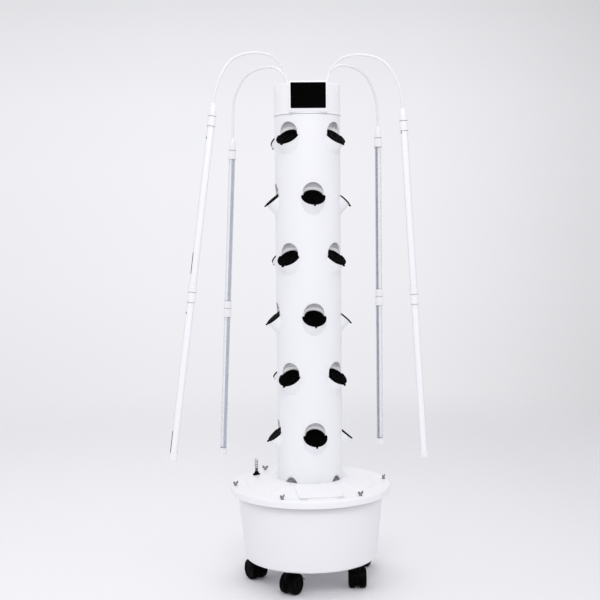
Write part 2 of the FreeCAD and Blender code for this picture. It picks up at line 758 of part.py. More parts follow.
plate_box = block("hatch_box", (-HATCH_HALF, -HATCH_OUT, RIM_TOP), (HATCH_HALF, -HATCH_IN, COLLAR_TOP + 20))
box_soft = rounded("hatch_box_soft", plate_box, HATCH_ROUND,
                   lambda e: e.BoundBox.ZLength > 20 and e.BoundBox.YMax < -HATCH_OUT.value + 1)
hatch_band = slope_band("hatch_band", HATCH_IN - NOTCH_DEEP, SEAT_GAP, PAD_RISE + SEAT_GAP)
hatch_top = common("hatch_top", hatch_band, box_soft)
plug_half = hatch_low - HATCH_GAP
plug_box = block("plug_box", (-plug_half, -(HATCH_OUT - HATCH_LAP - HATCH_GAP), RIM_TOP - 10),
                 (plug_half, -(HATCH_IN + HATCH_SHELF + HATCH_GAP), COLLAR_TOP + 20))
plug = common("hatch_plug", slope_band("plug_band", HATCH_IN, -LID_THICK, PAD_RISE), plug_box)
notch = block("finger_notch", (-NOTCH_HALF, -(HATCH_IN + NOTCH_DEEP), RIM_TOP),
              (NOTCH_HALF, -(HATCH_IN - 4), COLLAR_TOP + 20))
part(cut("front_hatch", fuse("hatch_body", hatch_top, plug), notch), "front_hatch")

# Wing screws: six butterfly-headed screws that hold the lid to the tub's flange.

screw_low = RIM_TOP - RIM_THICK - 3
screw_master = fuse(
    "screw_master",
    cylinder("screw_shank", SHANK_R, RIM_FACE - screw_low, screw_low),
    cylinder("screw_foot", FOOT_R, FOOT_UP, RIM_FACE),
    cylinder("screw_hub", HUB_R, HUB_UP, RIM_FACE),
    lying("right_wing", WING_R, WING_THICK * 0.5, WING_OUT, RIM_FACE + WING_UP),
    lying("left_wing", WING_R, WING_THICK * 0.5, -WING_OUT, RIM_FACE + WING_UP))
screws = doc.addObject("Part::Compound", "wing_screws")
screws.Links = [copy_of("wing_screw_%d" % k, screw_master,
                        Placement(aim(30 + 60 * k) * SCREW_RING.value, Rotation(V(0, 0, 1), 25 + 47 * k)))
                for k in range(6)]
part(screws, "wing_screws")

# Level gauge: a rubber grommet in the lid, a clear tube in it, and a float whose rod
# slides in the tube on two beads.

GROMMET_TOP = GAUGE_SEAT + GROMMET_UP
grommet = body("level_grommet")
turned(grommet, "grommet_turn", [
    (GAUGE_TUBE, GAUGE_SEAT - GROMMET_DOWN),
    (GAUGE_BORE, GAUGE_SEAT - GROMMET_DOWN),
    (GAUGE_BORE, GAUGE_SEAT),
    (GROMMET_R, GAUGE_SEAT),
    (GROMMET_R, GAUGE_SEAT + 2),
    (GROMMET_R - 2.5, GAUGE_SEAT + 2.6),
    (GAUGE_TUBE + 1, GROMMET_TOP),
    (GAUGE_TUBE, GROMMET_TOP),
])
move_to(grommet, GAUGE_X, GAUGE_Y)
part(grommet, "level_grommet")

tube_low = GAUGE_TOP - GAUGE_LONG
tube = body("level_tube")
turned(tube, "tube_turn", [
    (GAUGE_TUBE - GAUGE_WALL, tube_low),
    (GAUGE_TUBE, tube_low),
    (GAUGE_TUBE, GAUGE_TOP - 1.5),
    (GAUGE_TUBE - 1.5, GAUGE_TOP),
    (0, GAUGE_TOP),
    (0, GAUGE_TOP - 2),
    (GAUGE_TUBE - GAUGE_WALL, GAUGE_TOP - 2),
])
move_to(tube, GAUGE_X, GAUGE_Y)
part(tube, "level_tube")

float_top = tube_low - FLOAT_TRAVEL - 4
bead = GAUGE_TUBE - GAUGE_WALL - RUN_GAP
rod_top = GAUGE_TOP - FLOAT_TRAVEL - 4
floater = body("level_float")
turned(floater, "float_turn", [
    (0, float_top - FLOAT_UP),
    (FLOAT_R - FLOAT_EDGE, float_top - FLOAT_UP),
    (FLOAT_R, float_top - FLOAT_UP + FLOAT_EDGE),
    (FLOAT_R, float_top - FLOAT_EDGE),
    (FLOAT_R - FLOAT_EDGE, float_top),
    (ROD_R, float_top),
    (ROD_R, tube_low + BEAD_LONG),
    (bead, tube_low + BEAD_LONG + 2),
    (bead, tube_low + 2 * BEAD_LONG + 2),
    (ROD_R, tube_low + 2 * BEAD_LONG + 4),
    (ROD_R, rod_top - BEAD_LONG - 4),
    (bead, rod_top - BEAD_LONG - 2),
    (bead, rod_top),
    (0, rod_top),
])
move_to(floater, GAUGE_X, GAUGE_Y)
part(floater, "level_float")

# Column: six rows of four mouths, a foot with four drain arches, all one moulding.
# A pot's axis leans out by the tilt from the upright; it passes its mouth's centre.

TILT_S = sine(POT_TILT)
TILT_C = cosine(POT_TILT)
WALL_IN = COLUMN_R - COLUMN_WALL


def on_pot_axis(item, along=0):
    """Put an object on the front pot's axis, this far above the mouth's centre."""
    item.Placement = Placement(V(), Rotation(V(1, 0, 0), POT_TILT.value))
    item.setExpression("Placement.Rotation.Angle", POT_TILT.text)
    item.setExpression("Placement.Base.y", (-(POT_OUT + along * TILT_S)).text)
    item.setExpression("Placement.Base.z", (along * TILT_C).text)
    return item


def pipe_ring(name, low, high):
    """A length of the bare column pipe."""
    return cut(name, cylinder(name + "_out", COLUMN_R, dim(high) - low, low),
               cylinder(name + "_in", WALL_IN, dim(high) - low + 2, dim(low) - 1))


def around(name, source, count=4, turn=0, height=0):
    """Copies of a front piece, evenly round Z."""
    copies = []
    for k in range(count):
        place = Placement(V(), Rotation(V(0, 0, 1), turn + 360 * k / count))
        item = copy_of("%s_%d" % (name, k + 1), source, place)
        item.setExpression("Placement.Base.z", dim(height).text)
        copies.append(item)
    return copies


def within_wall(name, item, kept):
    """The piece outside the pipe's inner face, or what of it lies inside."""
    trim = cylinder(name + "_trim", WALL_IN + BITE, 2 * FAR, -FAR)
    return cut(name, item, trim) if kept == "outside" else common(name, item, trim)


bulge = on_pot_axis(cone("bulge", BULGE_LOW, BULGE_R, BULGE_LONG, 0), -BULGE_LONG)
bulge_out = within_wall("bulge_out", bulge, "outside")
collar = on_pot_axis(cylinder("collar", COLLAR_R, COLLAR_UP + COLLAR_DOWN, 0), -COLLAR_DOWN)
collar_in = within_wall("collar_in", collar, "inside")
bore_down = CUP_DEEP + 3
bore = on_pot_axis(cylinder("bore", BORE_R, bore_down + BORE_UP, 0), -bore_down)
row_high = COLUMN_TOP - ROW_TOP
row_low = row_high - ROW_PITCH
row_walls = fuse("row_walls", pipe_ring("row_pipe", row_low, row_high),
                 *around("row_bulge", bulge_out), *around("row_collar", collar_in))
row = cut("row", row_walls, *around("row_bore", bore))
last_row = ROW_TOP - 5 * ROW_PITCH
foot = cut("foot", pipe_ring("foot_pipe", LEDGE_TOP, last_row + row_low),
           *around("foot_bore", bore, 4, 45, MOUTH_ROW))
rows = []
for k in range(6):
    level = copy_of("row_%d" % (k + 1), row, Placement(V(), Rotation(V(0, 0, 1), 45 * ((k + 1) % 2))))
    level.setExpression("Placement.Base.z", (ROW_TOP - k * ROW_PITCH).text)
    rows.append(level)
part(fuse("column", foot, *rows), "column")

# Pots: a black net cup with a lid plate that rests on the mouth's rim, a pull tab at the
# lowest point and a rib from the middle to the tab. Local z is the pot's axis.

plate_back = BORE_R - POT_GAP
flange = common("pot_flange", cylinder("flange_round", PLATE_R, PLATE_THICK, 0),
                block("flange_side", (-FAR, -FAR, -1), (FAR, PLATE_EDGE, FAR)))
cup_low = -CUP_DEEP
cup_inside = cone("cup_in", CUP_LOW - CUP_WALL, CUP_TOP - CUP_WALL, CUP_DEEP - CUP_WALL, cup_low + CUP_WALL)
cup_wall = cut("cup_wall", cone("cup_out", CUP_LOW, CUP_TOP, CUP_DEEP + BITE, cup_low), cup_inside)
slots = []
for k in range(4):
    slot = block("cup_slot", (-FAR, -SLOT_HALF, cup_low + SLOT_LOW), (FAR, SLOT_HALF, -SLOT_HIGH))
    slots.append(copy_of("cup_slots_%d" % (k + 1), slot, Placement(V(), Rotation(V(0, 0, 1), 45 * k))))
pot_master = fuse(
    "pot_master",
    cylinder("plate_round", plate_back, PLATE_THICK, 0), flange,
    block("pot_tab", (-TAB_HALF, -PLATE_R - TAB_LONG, 0), (TAB_HALF, -PLATE_R + 2, PLATE_THICK)),
    block("pot_rib", (-RIB_HALF, -PLATE_R + 1, 1), (RIB_HALF, 0, PLATE_THICK + RIB_UP)),
    cylinder("pot_button", BUTTON_R, BUTTON_UP + BITE, PLATE_THICK - BITE),
    cut("cup", cup_wall, *slots, cylinder("cup_drain", DRAIN_R, 10, cup_low - 2)))
pot_front = on_pot_axis(copy_of("pot_front", pot_master, Placement()))
for k in range(6):
    for n in range(4):
        name = "pot_%d_%s" % (k + 1, "abcd"[n])
        turn = 45 * ((k + 1) % 2) + 90 * n
        item = copy_of(name, pot_front, Placement(V(), Rotation(V(0, 0, 1), turn)))
        item.setExpression("Placement.Base.z", (ROW_TOP - k * ROW_PITCH).text)
        part(item, name)

# Pump, riser and spray plate: the water's way from the tub to the column's top.

tub_floor = FLOOR_GAP + TUB_WALL
pump_top = tub_floor + PUMP_H
pump_box = block("pump_box", (-PUMP_W * 0.5, -PUMP_D * 0.5, tub_floor),
                 (PUMP_W * 0.5, PUMP_D * 0.5, pump_top))
pump_soft = rounded("pump_soft", pump_box, PUMP_CORNER, lambda e: e.BoundBox.ZLength > 20)
outlet = cylinder("pump_outlet", RISER_R + OUTLET_WALL, OUTLET_UP + 1, pump_top - 1)
part(cut("pump", fuse("pump_body", pump_soft, outlet),
         cylinder("pump_way", RISER_R + RUN_GAP, OUTLET_UP + 7, pump_top + 1)), "pump")

riser = body("riser_pipe")
riser_top = SPRAY_LOW + SPRAY_HUB + 2
turned(riser, "riser_turn", [
    (RISER_R - RISER_WALL, pump_top + 1),
    (RISER_R, pump_top + 1),
    (RISER_R, riser_top),
    (RISER_R - RISER_WALL, riser_top),
])
part(riser, "riser_pipe")

spray_out = WALL_IN - SPRAY_GAP
spray_face = SPRAY_LOW + SPRAY_THICK
spray = body("spray_plate")
turned(spray, "spray_turn", [
    (RISER_R + RUN_GAP, SPRAY_LOW),
    (spray_out, SPRAY_LOW),
    (spray_out, SPRAY_LOW + SPRAY_RIM),
    (spray_out - 2, SPRAY_LOW + SPRAY_RIM),
    (spray_out - 2, spray_face),
    (RISER_R + 3, spray_face),
    (RISER_R + 3, SPRAY_LOW + SPRAY_HUB),
    (RISER_R + RUN_GAP, SPRAY_LOW + SPRAY_HUB),
])
drip = pocketed(spray, "drip_hole", "XY_Plane", spray_face, SPRAY_THICK + BITE,
                lambda sk: circle(sk, spray_out - DRIP_IN, 0, DRIP_R))
ringed(spray, "drip_holes", [drip], 16)
part(spray, "spray_plate")

# Head: a cap that plugs into the column, with the panel box on its front and four
# sockets for the arms. It is drawn facing the front and then turned.

turned_head = Rotation(V(0, 0, 1), CAP_TURN.value)
cap = body("cap_round")
turned(cap, "cap_turn", [
    (SPIGOT_R - CAP_WALL, SPIGOT_LOW),
    (SPIGOT_R, SPIGOT_LOW),
    (SPIGOT_R, COLUMN_TOP),
    (CAP_LIP, COLUMN_TOP),
    (CAP_LIP, COLUMN_TOP + LIP_UP),
    (CAP_R, COLUMN_TOP + LIP_UP),
    (CAP_R, CAP_TOP),
    (0, CAP_TOP),
    (0, CAP_TOP - CAP_WALL),
    (CAP_R - CAP_WALL, CAP_TOP - CAP_WALL),
    (CAP_R - CAP_WALL, COLUMN_TOP + 12),
    (SPIGOT_R - CAP_WALL, COLUMN_TOP + 7),
])
soften(cap, "cap_edge", CAP_EDGE, lambda e: flat_ring(e, CAP_TOP, CAP_R))
cap_inside = CAP_TOP - CAP_WALL
panel = body("panel_box")
padded(panel, "panel_pad", "YZ_Plane", -BOX_HALF, 2 * BOX_HALF, lambda sk: outline(sk, [
    (-(BOX_OUT - 5), BOX_LOW),
    (-BOX_OUT, BOX_LOW + 10),
    (-BOX_OUT, BOX_TOP),
    (-(BOX_OUT - BOX_ROOF), BOX_TOP),
    (-(BOX_OUT - BOX_ROOF), cap_inside),
    (-(BOX_OUT - BOX_DEEP), cap_inside),
    (-(BOX_OUT - BOX_DEEP), BOX_LOW),
]))


def on_front(edge):
    """Whether an edge of the panel box stands upright in its front face."""
    box = edge.BoundBox
    return box.ZLength > 60 and box.XLength + box.YLength < 0.01 and box.YMax < 1 - BOX_OUT.value


panel_soft = rounded("panel_soft", panel, BOX_EDGE, on_front)
sockets = [(x * SOCKET_X, y * SOCKET_Y) for x in (-1, 1) for y in (-1, 1)]
bosses = [cylinder("arm_boss", SOCKET_R, BOX_TOP - SOCKET_FLOOR + 4, SOCKET_FLOOR - 4, x, y)
          for x, y in sockets]
ways = [cylinder("arm_way", STEM_R + RUN_GAP, BOX_TOP - SOCKET_FLOOR + 1, SOCKET_FLOOR, x, y)
        for x, y in sockets]
hollow = block("panel_hollow", (-BOX_HALF + BOX_WALL, -BOX_OUT + SCREEN_DEEP + 3, BOX_LOW + 3),
               (BOX_HALF - BOX_WALL, -BOX_OUT + BOX_DEEP + 4, cap_inside))
notch_box = block("cap_notch", (-NOTCH_W * 0.5, -CAP_R - NOTCH_W, CAP_TOP - NOTCH_LONG),
                  (NOTCH_W * 0.5, -CAP_R + NOTCH_IN, CAP_TOP + NOTCH_W))
notches = [copy_of("cap_notch_%d" % (k + 1), notch_box, Placement(V(), Rotation(V(0, 0, 1), angle)))
           for k, angle in enumerate((60.5, 119.5, -60.5, -119.5))]


def screen_block(name, gap):
    """The screen's rounded slab, or its pocket when gap is more than nothing."""
    half = SCREEN_W * 0.5 + gap
    slab = block(name, (-half, -BOX_OUT - gap, SCREEN_LOW - gap),
                 (half, -BOX_OUT + SCREEN_DEEP, SCREEN_LOW + SCREEN_H + gap))
    return rounded(name + "_soft", slab, BOX_EDGE, lambda e: e.BoundBox.YLength > SCREEN_DEEP.value - 1)


cap_full = cut("cap_full", fuse("cap_walls", cap, panel_soft, *bosses), hollow,
               screen_block("screen_pocket", SCREEN_GAP), *ways, *notches)
part(copy_of("top_cap", cap_full, Placement(V(), turned_head)), "top_cap")
screen = screen_block("screen_slab", dim(0))
part(copy_of("control_screen", screen, Placement(V(), turned_head)), "control_screen")

# Arms: bent pipes that swivel in the cap's sockets. Each lies in an upright plane; its
# arch has one shape, scaled by how far the arm reaches and how high it rises.

# The arch as shares of its reach and rise, and the share of its reach where the boot hangs.
ARCH = ((0, 0.395), (0.163, 0.9), (0.302, 1.0), (0.492, 1.0), (0.6875, 0.84),
        (0.7976, 0.609), (0.9058, 0.16), (0.9677, -0.31))
ARCH_BOOT = 0.985


def smooth_run(points):
    """Straight runs joined by tangent arcs, each as large as its two runs allow."""
    edges = []
    last = points[0]
    for before, corner, after in zip(points, points[1:], points[2:]):
        u, w = corner - before, after - corner
        trim = 0.45 * min(u.Length, w.Length)
        u.normalize()
        w.normalize()
        start, end = corner - u * trim, corner + w * trim
        turn = u.getAngle(w)
        middle_way = (w - u).normalize()
        radius = trim / math.tan(turn / 2)
        middle = corner + middle_way * (math.sqrt(radius ** 2 + trim ** 2) - radius)
        edges.append(Part.makeLine(last, start))
        edges.append(Part.Arc(start, middle, end).toShape())
        last = end
    edges.append(Part.makeLine(last, points[-1]))
    return Part.Wire(edges)


def arm_shape(rise, boot_s, boot_z, lean):
    """An arm in its plane: x is the way out and the socket's axis is on x = 0."""
    reach = boot_s / ARCH_BOOT
    out = V(math.sin(math.radians(lean)), 0, -math.cos(math.radians(lean)))
    boot = V(boot_s, 0, boot_z)
    root = (SOCKET_FLOOR + ARM_LIFT).value
    points = [V(0, 0, root)]
    points += [V(reach * f, 0, ARCH_ROOT.value + rise * g) for f, g in ARCH]
    points += [boot - out * 12, boot + out * NECK_LONG.value]
    run = smooth_run(points)
    rings = [Part.Wire(Part.makeCircle(r, points[0])) for r in (ARM_R.value, ARM_R.value - ARM_WALL.value)]
    outside, inside = [run.makePipeShell([ring], True, False) for ring in rings]
    pipe = outside.cut(inside)
    sleeve = Part.makeCylinder(STEM_R.value, (BOX_TOP + SLEEVE_UP).value - root, points[0])
    sleeve = sleeve.cut(Part.makeCylinder((ARM_R - BITE).value, 2 * FAR.value, V(0, 0, root - FAR.value)))
    return pipe.fuse(sleeve).removeSplitter()


def light_body(name, outline_points):
    """A light fitting turned on its own axis; heights run down from the boot's top."""
    item = body(name)
    turned(item, name + "_turn", outline_points)
    return item


light_start = BOOT_LONG + RING_LONG
light_end = light_start + BAR_LONG
bar_mid = light_start + BAR_LONG * 0.5
bar_hole = BAR_R + RUN_GAP
grip = RING_LONG - 9
boot_fit = light_body("boot_fit", [
    (ARM_R + RUN_GAP, 0),
    (BOOT_TIP, 0),
    (BOOT_R, -BOOT_LONG * 0.45),
    (RING_R - 0.6, -BOOT_LONG),
    (RING_R, -BOOT_LONG - 0.6),
    (RING_R, -light_start),
    (bar_hole, -light_start),
    (bar_hole, -(light_start - grip)),
    (ARM_R + RUN_GAP, -(light_start - grip)),
])
joiner_fit = light_body("joiner_fit", [
    (bar_hole, -(bar_mid - JOIN_LONG * 0.5)),
    (RING_R, -(bar_mid - JOIN_LONG * 0.5)),
    (RING_R, -(bar_mid + JOIN_LONG * 0.5)),
    (bar_hole, -(bar_mid + JOIN_LONG * 0.5)),
    (bar_hole, -(bar_mid + 2)),
    (bar_hole - 3, -(bar_mid + 2)),
    (bar_hole - 3, -(bar_mid - 2)),
    (bar_hole, -(bar_mid - 2)),
])
end_fit = light_body("end_fit", [
    (bar_hole, -(light_end - END_LONG)),
    (RING_R, -(light_end - END_LONG)),
    (RING_R, -(light_end - 2)),
    (RING_R - 2, -light_end),
    (0, -light_end),
    (0, -(light_end - 4)),
    (bar_hole, -(light_end - 4)),
])
bars = []
for n, (high, low) in enumerate(((light_start - grip, bar_mid - 2), (bar_mid + 2, light_end - 4))):
    glass = light_body("bar_glass_%d" % (n + 1), [
        (BAR_R - BAR_WALL, -high), (BAR_R, -high), (BAR_R, -low), (BAR_R - BAR_WALL, -low)])
    core = cylinder("core_round", BAR_R - BAR_WALL, low - high - 2, -low + 1)
    strip = common("bar_strip_%d" % (n + 1), core,
                   block("core_half", (-BAR_R, -BAR_R, -low), (BAR_R, -BAR_R * 0.45, -high)))
    bars += [glass, strip]
fittings = doc.addObject("Part::Compound", "light_fittings_set")
fittings.Links = [boot_fit, joiner_fit, end_fit]
tubes = doc.addObject("Part::Compound", "light_tubes_set")
tubes.Links = bars

# Each arm: its socket's side and depth signs, its azimuth, rise, reach to the boot's top,
# height of the boot's top, lean of the light, and the way its dark strip faces.
ARMS = (
    (-1, -1, -65.6, ARM_1_RISE, ARM_1_REACH, ARM_1_BOOT, 8.36, 120),
    (-1, 1, -140.5, ARM_2_RISE, ARM_2_REACH, ARM_2_BOOT, 3.54, 60),
    (1, 1, 125.1, ARM_3_RISE, ARM_3_REACH, ARM_3_BOOT, 0.19, 120),
    (1, -1, 59.9, ARM_4_RISE, ARM_4_REACH, ARM_4_BOOT, 3.52, 60),
)
for k, (sx, sy, azimuth, rise, boot_s, boot_z, lean, face) in enumerate(ARMS):
    where = turned_head.multVec(V(sx * SOCKET_X.value, sy * SOCKET_Y.value, 0))
    place = Placement(where, Rotation(V(0, 0, 1), azimuth - 90))
    shape = arm_shape(rise.value, boot_s.value, boot_z.value, lean)
    part(solid("arm_%d" % (k + 1), shape, place), "arm_%d" % (k + 1))
    hang = place * Placement(V(boot_s.value, 0, boot_z.value), Rotation(V(0, 1, 0), -lean))
    faced = hang * Placement(V(), Rotation(V(0, 0, 1), face))
    part(copy_of("light_%d_fittings" % (k + 1), fittings, hang), "light_%d_fittings" % (k + 1))
    part(copy_of("light_%d_tubes" % (k + 1), tubes, faced), "light_%d_tubes" % (k + 1))

# Check every object, then write each sub-part to its own file.

doc.recompute()
for item in doc.Objects:
    if "Invalid" in item.State or "Error" in item.State:
        raise RuntimeError("%s failed: %s" % (item.Label, item.State))
for name, item in PARTS.items():
    if item.Shape.isNull() or not item.Shape.isValid():
        raise RuntimeError(name + " has no valid shape")
for name, item in PARTS.items():
    item.Shape.exportStep(os.path.join("parts", name + ".step"))
print(len(PARTS), "sub-parts written")
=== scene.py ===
import bmesh
import bpy
import numpy as np
from mathutils import Matrix, Quaternion, Vector


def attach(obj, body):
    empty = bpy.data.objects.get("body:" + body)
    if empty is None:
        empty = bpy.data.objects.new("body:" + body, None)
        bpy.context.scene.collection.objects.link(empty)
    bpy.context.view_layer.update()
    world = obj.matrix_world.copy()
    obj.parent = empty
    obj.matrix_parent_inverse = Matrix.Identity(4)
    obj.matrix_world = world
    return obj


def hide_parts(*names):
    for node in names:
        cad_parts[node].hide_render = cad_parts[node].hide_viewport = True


# Vertical planter tower: a white tub on five casters, a lid, a column with six rows of four
# slanted pots, a cap with a control screen, and four arms that hang light bars. The object is
# drawn in millimetres and turned to metres where a mesh is made; the stage is in metres.
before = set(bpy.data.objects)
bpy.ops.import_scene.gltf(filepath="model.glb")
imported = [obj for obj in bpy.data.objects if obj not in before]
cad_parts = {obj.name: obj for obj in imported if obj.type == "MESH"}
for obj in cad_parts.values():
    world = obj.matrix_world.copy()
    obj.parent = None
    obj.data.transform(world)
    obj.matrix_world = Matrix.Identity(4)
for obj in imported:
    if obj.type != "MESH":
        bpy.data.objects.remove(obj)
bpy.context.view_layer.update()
MM = 0.001


# Stage: the camera stands in front and a little to the left, at the height of the upper
# pots. The floor is a pale painted disc that fades into a pale wall, under soft studio light.

CAMERA_AT = (-0.5460, -3.3341, 1.0925)
CAMERA_ALONG = (0.1534, 0.9860, -0.0658)
CAMERA_ROLL = 0.0095


def put(name, data):
    """An object in the scene that holds this mesh, lamp or camera."""
    item = bpy.data.objects.new(name, data)
    bpy.context.scene.collection.objects.link(item)
    item.rotation_mode = "QUATERNION"
    return item


camera = put("camera", bpy.data.cameras.new("camera"))
camera.data.lens = 65.97
camera.data.sensor_width = 36
camera.location = CAMERA_AT
camera.rotation_quaternion = (Vector(CAMERA_ALONG).to_track_quat("-Z", "Y")
                              @ Quaternion((0, 0, 1), -CAMERA_ROLL))
bpy.context.scene.camera = camera
bpy.context.scene.view_settings.view_transform = "Standard"


class Nodes:
    """The nodes of one tree. add() puts in a node, sets its properties, and sets or joins its sockets."""

    def __init__(self, tree):
        self.tree = tree

    def add(self, kind, sockets=(), **props):
        node = self.tree.nodes.new(kind)
        for prop, value in props.items():
            setattr(node, prop, value)
        self.set(node, dict(sockets))
        return node

    def set(self, node, sockets):
        for name, value in sockets.items():
            if isinstance(value, bpy.types.NodeSocket):
                self.tree.links.new(value, node.inputs[name])
            else:
                node.inputs[name].default_value = value

    def combine(self, first, second, operation="ADD"):
        """One number out of two."""
        return self.add("ShaderNodeMath", {0: first, 1: second}, operation=operation).outputs[0]

    def between(self, fac, low, high, start=0.0, end=1.0):
        """A number that goes from low to high as fac goes from start to end."""
        node = self.add("ShaderNodeMapRange", {"Value": fac, "From Min": start, "From Max": end,
                                               "To Min": low, "To Max": high})
        return node.outputs["Result"]

    def shades(self, fac, *stops):
        """A colour read from stops of (place, colour)."""
        node = self.add("ShaderNodeValToRGB", {"Fac": fac})
        ramp = node.color_ramp.elements
        while len(ramp) < len(stops):
            ramp.new(0.5)
        for element, (place, colour) in zip(ramp, stops):
            element.position = place
            element.color = (*colour, 1)
        return node.outputs["Color"]


class Finish(Nodes):
    """A material in the making; spot is the point of the surface in metres, in the object's own frame."""

    def __init__(self, name):
        self.material = bpy.data.materials.new(name)
        self.material.use_nodes = True
        super().__init__(self.material.node_tree)
        self.shader = self.tree.nodes["Principled BSDF"]
        self.spot = self.add("ShaderNodeTexCoord").outputs["Object"]

    def give(self, **sockets):
        """Set or join the shader's own sockets; an underscore in a name stands for a space."""
        self.set(self.shader, {name.replace("_", " "): value for name, value in sockets.items()})

    def cloud(self, scale, detail=3):
        """Soft noise from 0 to 1, with this many patches to a metre."""
        node = self.add("ShaderNodeTexNoise", {"Vector": self.spot, "Scale": scale, "Detail": detail})
        return node.outputs["Fac"]

    def bump(self, height, depth):
        """Raise the surface by depth metres where height is 1."""
        node = self.add("ShaderNodeBump", {"Height": height, "Distance": depth, "Strength": 1.0})
        return node.outputs["Normal"]


FLOOR_SIZE = 9.0
FLOOR_FADE = (1.6, 4.2)
BACKDROP = (0.896, 0.896, 0.928)

floor_mesh = bpy.data.meshes.new("floor")
rim = np.linspace(0, 2 * np.pi, 96, endpoint=False)
floor_mesh.from_pydata(np.stack([FLOOR_SIZE * np.cos(rim), FLOOR_SIZE * np.sin(rim), 0 * rim], -1).tolist(),
                       [], [list(range(len(rim)))])
floor = put("floor", floor_mesh)
paint = Finish("floor_paint")
# The floor's colour darkens towards +X: a painted shade for light that falls off to that side. Soft noise
# adds a random tone.
sideways = paint.between(paint.add("ShaderNodeSeparateXYZ", {0: paint.spot}).outputs["X"], 0, 0.9, -0.1, 1.3)
painted_shade_and_tone = paint.combine(sideways, paint.between(paint.cloud(0.7), -0.08, 0.08))
paint.give(Base_Color=paint.shades(painted_shade_and_tone, (0.0, (0.905, 0.905, 0.925)), (1.0, (0.785, 0.785, 0.80))),
           Roughness=paint.between(paint.cloud(40), 0.7, 0.8), Normal=paint.bump(paint.cloud(220), 0.0001),
           Specular_IOR_Level=0.2)
reach = paint.add("ShaderNodeVectorMath", {0: paint.spot}, operation="LENGTH").outputs["Value"]
fade = paint.add("ShaderNodeMapRange", {
    "Value": reach, "From Min": FLOOR_FADE[0], "From Max": FLOOR_FADE[1]},
    interpolation_type="SMOOTHSTEP").outputs["Result"]
clear = paint.add("ShaderNodeBsdfTransparent")
both = paint.add("ShaderNodeMixShader", {"Fac": fade, 1: paint.shader.outputs[0], 2: clear.outputs[0]})
paint.set(paint.tree.nodes["Material Output"], {"Surface": both.outputs[0]})
floor_mesh.materials.append(paint.material)

world = bpy.data.worlds.new("studio")
bpy.context.scene.world = world
world.use_nodes = True
sky = Nodes(world.node_tree)
towards = sky.add("ShaderNodeTexCoord").outputs["Generated"]
split = sky.add("ShaderNodeSeparateXYZ", {0: towards}).outputs


def banded(axis, low, high, stops):
    """The wall's brightness along one axis of the view's direction, as stops of (place, level)."""
    spread = sky.between(split[axis], 0, 1, low, high)
    return sky.shades(spread, *[((place - low) / (high - low), (level,) * 3) for place, level in stops])


upright = banded("Z", -0.30, 0.22, ((-0.25, 0.97), (-0.19, 0.92), (-0.12, 0.945), (-0.05, 0.98),
                                     (0.05, 1.0), (0.11, 0.985), (0.167, 0.92), (0.2, 0.86)))
level = banded("X", -0.12, 0.42, ((-0.11, 0.96), (0.03, 1.0), (0.15, 1.0), (0.26, 0.965), (0.33, 0.90),
                                   (0.4, 0.81)))
both_ways = sky.add("ShaderNodeVectorMath", {0: upright, 1: level}, operation="MULTIPLY").outputs[0]
tinted = sky.add("ShaderNodeVectorMath", {0: both_ways, 1: BACKDROP}, operation="MULTIPLY").outputs[0]
seen = sky.tree.nodes["Background"]
sky.set(seen, {"Color": tinted})
soft = sky.add("ShaderNodeBackground", {"Color": (0.97, 0.97, 1.0, 1), "Strength": 0.79})
rays = sky.add("ShaderNodeLightPath").outputs
any_ray = sky.combine(rays["Is Camera Ray"], rays["Is Glossy Ray"], "MAXIMUM")
any_ray = sky.combine(any_ray, rays["Is Transmission Ray"], "MAXIMUM")
mixed = sky.add("ShaderNodeMixShader", {"Fac": any_ray, 1: soft.outputs[0], 2: seen.outputs[0]})
sky.set(sky.tree.nodes["World Output"], {"Surface": mixed.outputs[0]})


def softbox(name, place, target, width, height, watts):
    """A rectangular lamp that faces its target, in metres."""
    lamp = bpy.data.lights.new(name, "AREA")
    lamp.shape = "RECTANGLE"
    lamp.size = width
    lamp.size_y = height
    lamp.energy = watts
    item = put(name, lamp)
    item.location = place
    item.rotation_quaternion = (Vector(target) - Vector(place)).to_track_quat("-Z", "Y")


softbox("front_softbox", (-0.45, -3.2, 3.1), (0, 0, 0.8), 1.4, 1.4, 34)
softbox("top_softbox", (0.0, 0.3, 3.9), (0, 0, 0.8), 2.6, 2.6, 25)


# Tub: one deep round bucket of satin white plastic that holds the water. It widens upwards
# to an out-turned flange under the lid, and five bosses in its floor take the caster pins.

TUB_FLOOR = 74
TUB_WALL = 4
TUB_LOW = 204
TUB_HIGH = 226
RIM_TOP = 292.5
RIM_RADIUS = 243
CASTER_RING = 184
CASTER_START = -31.6
SHADE_BAND = (0.252, 0.280)  # in metres, as the finish reads it


def rounded(corners, closed=False, steps=5):
    """A path through corners (x, y, radius). Each corner with a radius becomes an arc that touches both of
    its runs: it starts radius times the tangent of half the turn before the corner, and no arc takes more
    than half of a run."""
    spots = np.array([corner[:2] for corner in corners], float)
    count = len(spots)
    path = []
    for k, corner in enumerate(corners):
        here = spots[k]
        if len(corner) < 3 or (not closed and k in (0, count - 1)):
            path.append(here[None])
            continue
        come, go = here - spots[k - 1], spots[(k + 1) % count] - here
        room = 0.499 * min(np.hypot(*come), np.hypot(*go))
        come, go = come / np.hypot(*come), go / np.hypot(*go)
        turn = np.arctan2(come[0] * go[1] - come[1] * go[0], come @ go)
        half = np.tan(abs(turn) / 2)
        trim = min(corner[2] * half, room)
        start = here - come * trim
        middle = start + np.sign(turn) * np.array([-come[1], come[0]]) * trim / half
        arm = start - middle
        a = np.linspace(0, turn, steps + 1)
        path.append(middle + np.stack([arm[0] * np.cos(a) - arm[1] * np.sin(a),
                                       arm[0] * np.sin(a) + arm[1] * np.cos(a)], -1))
    return np.concatenate(path)


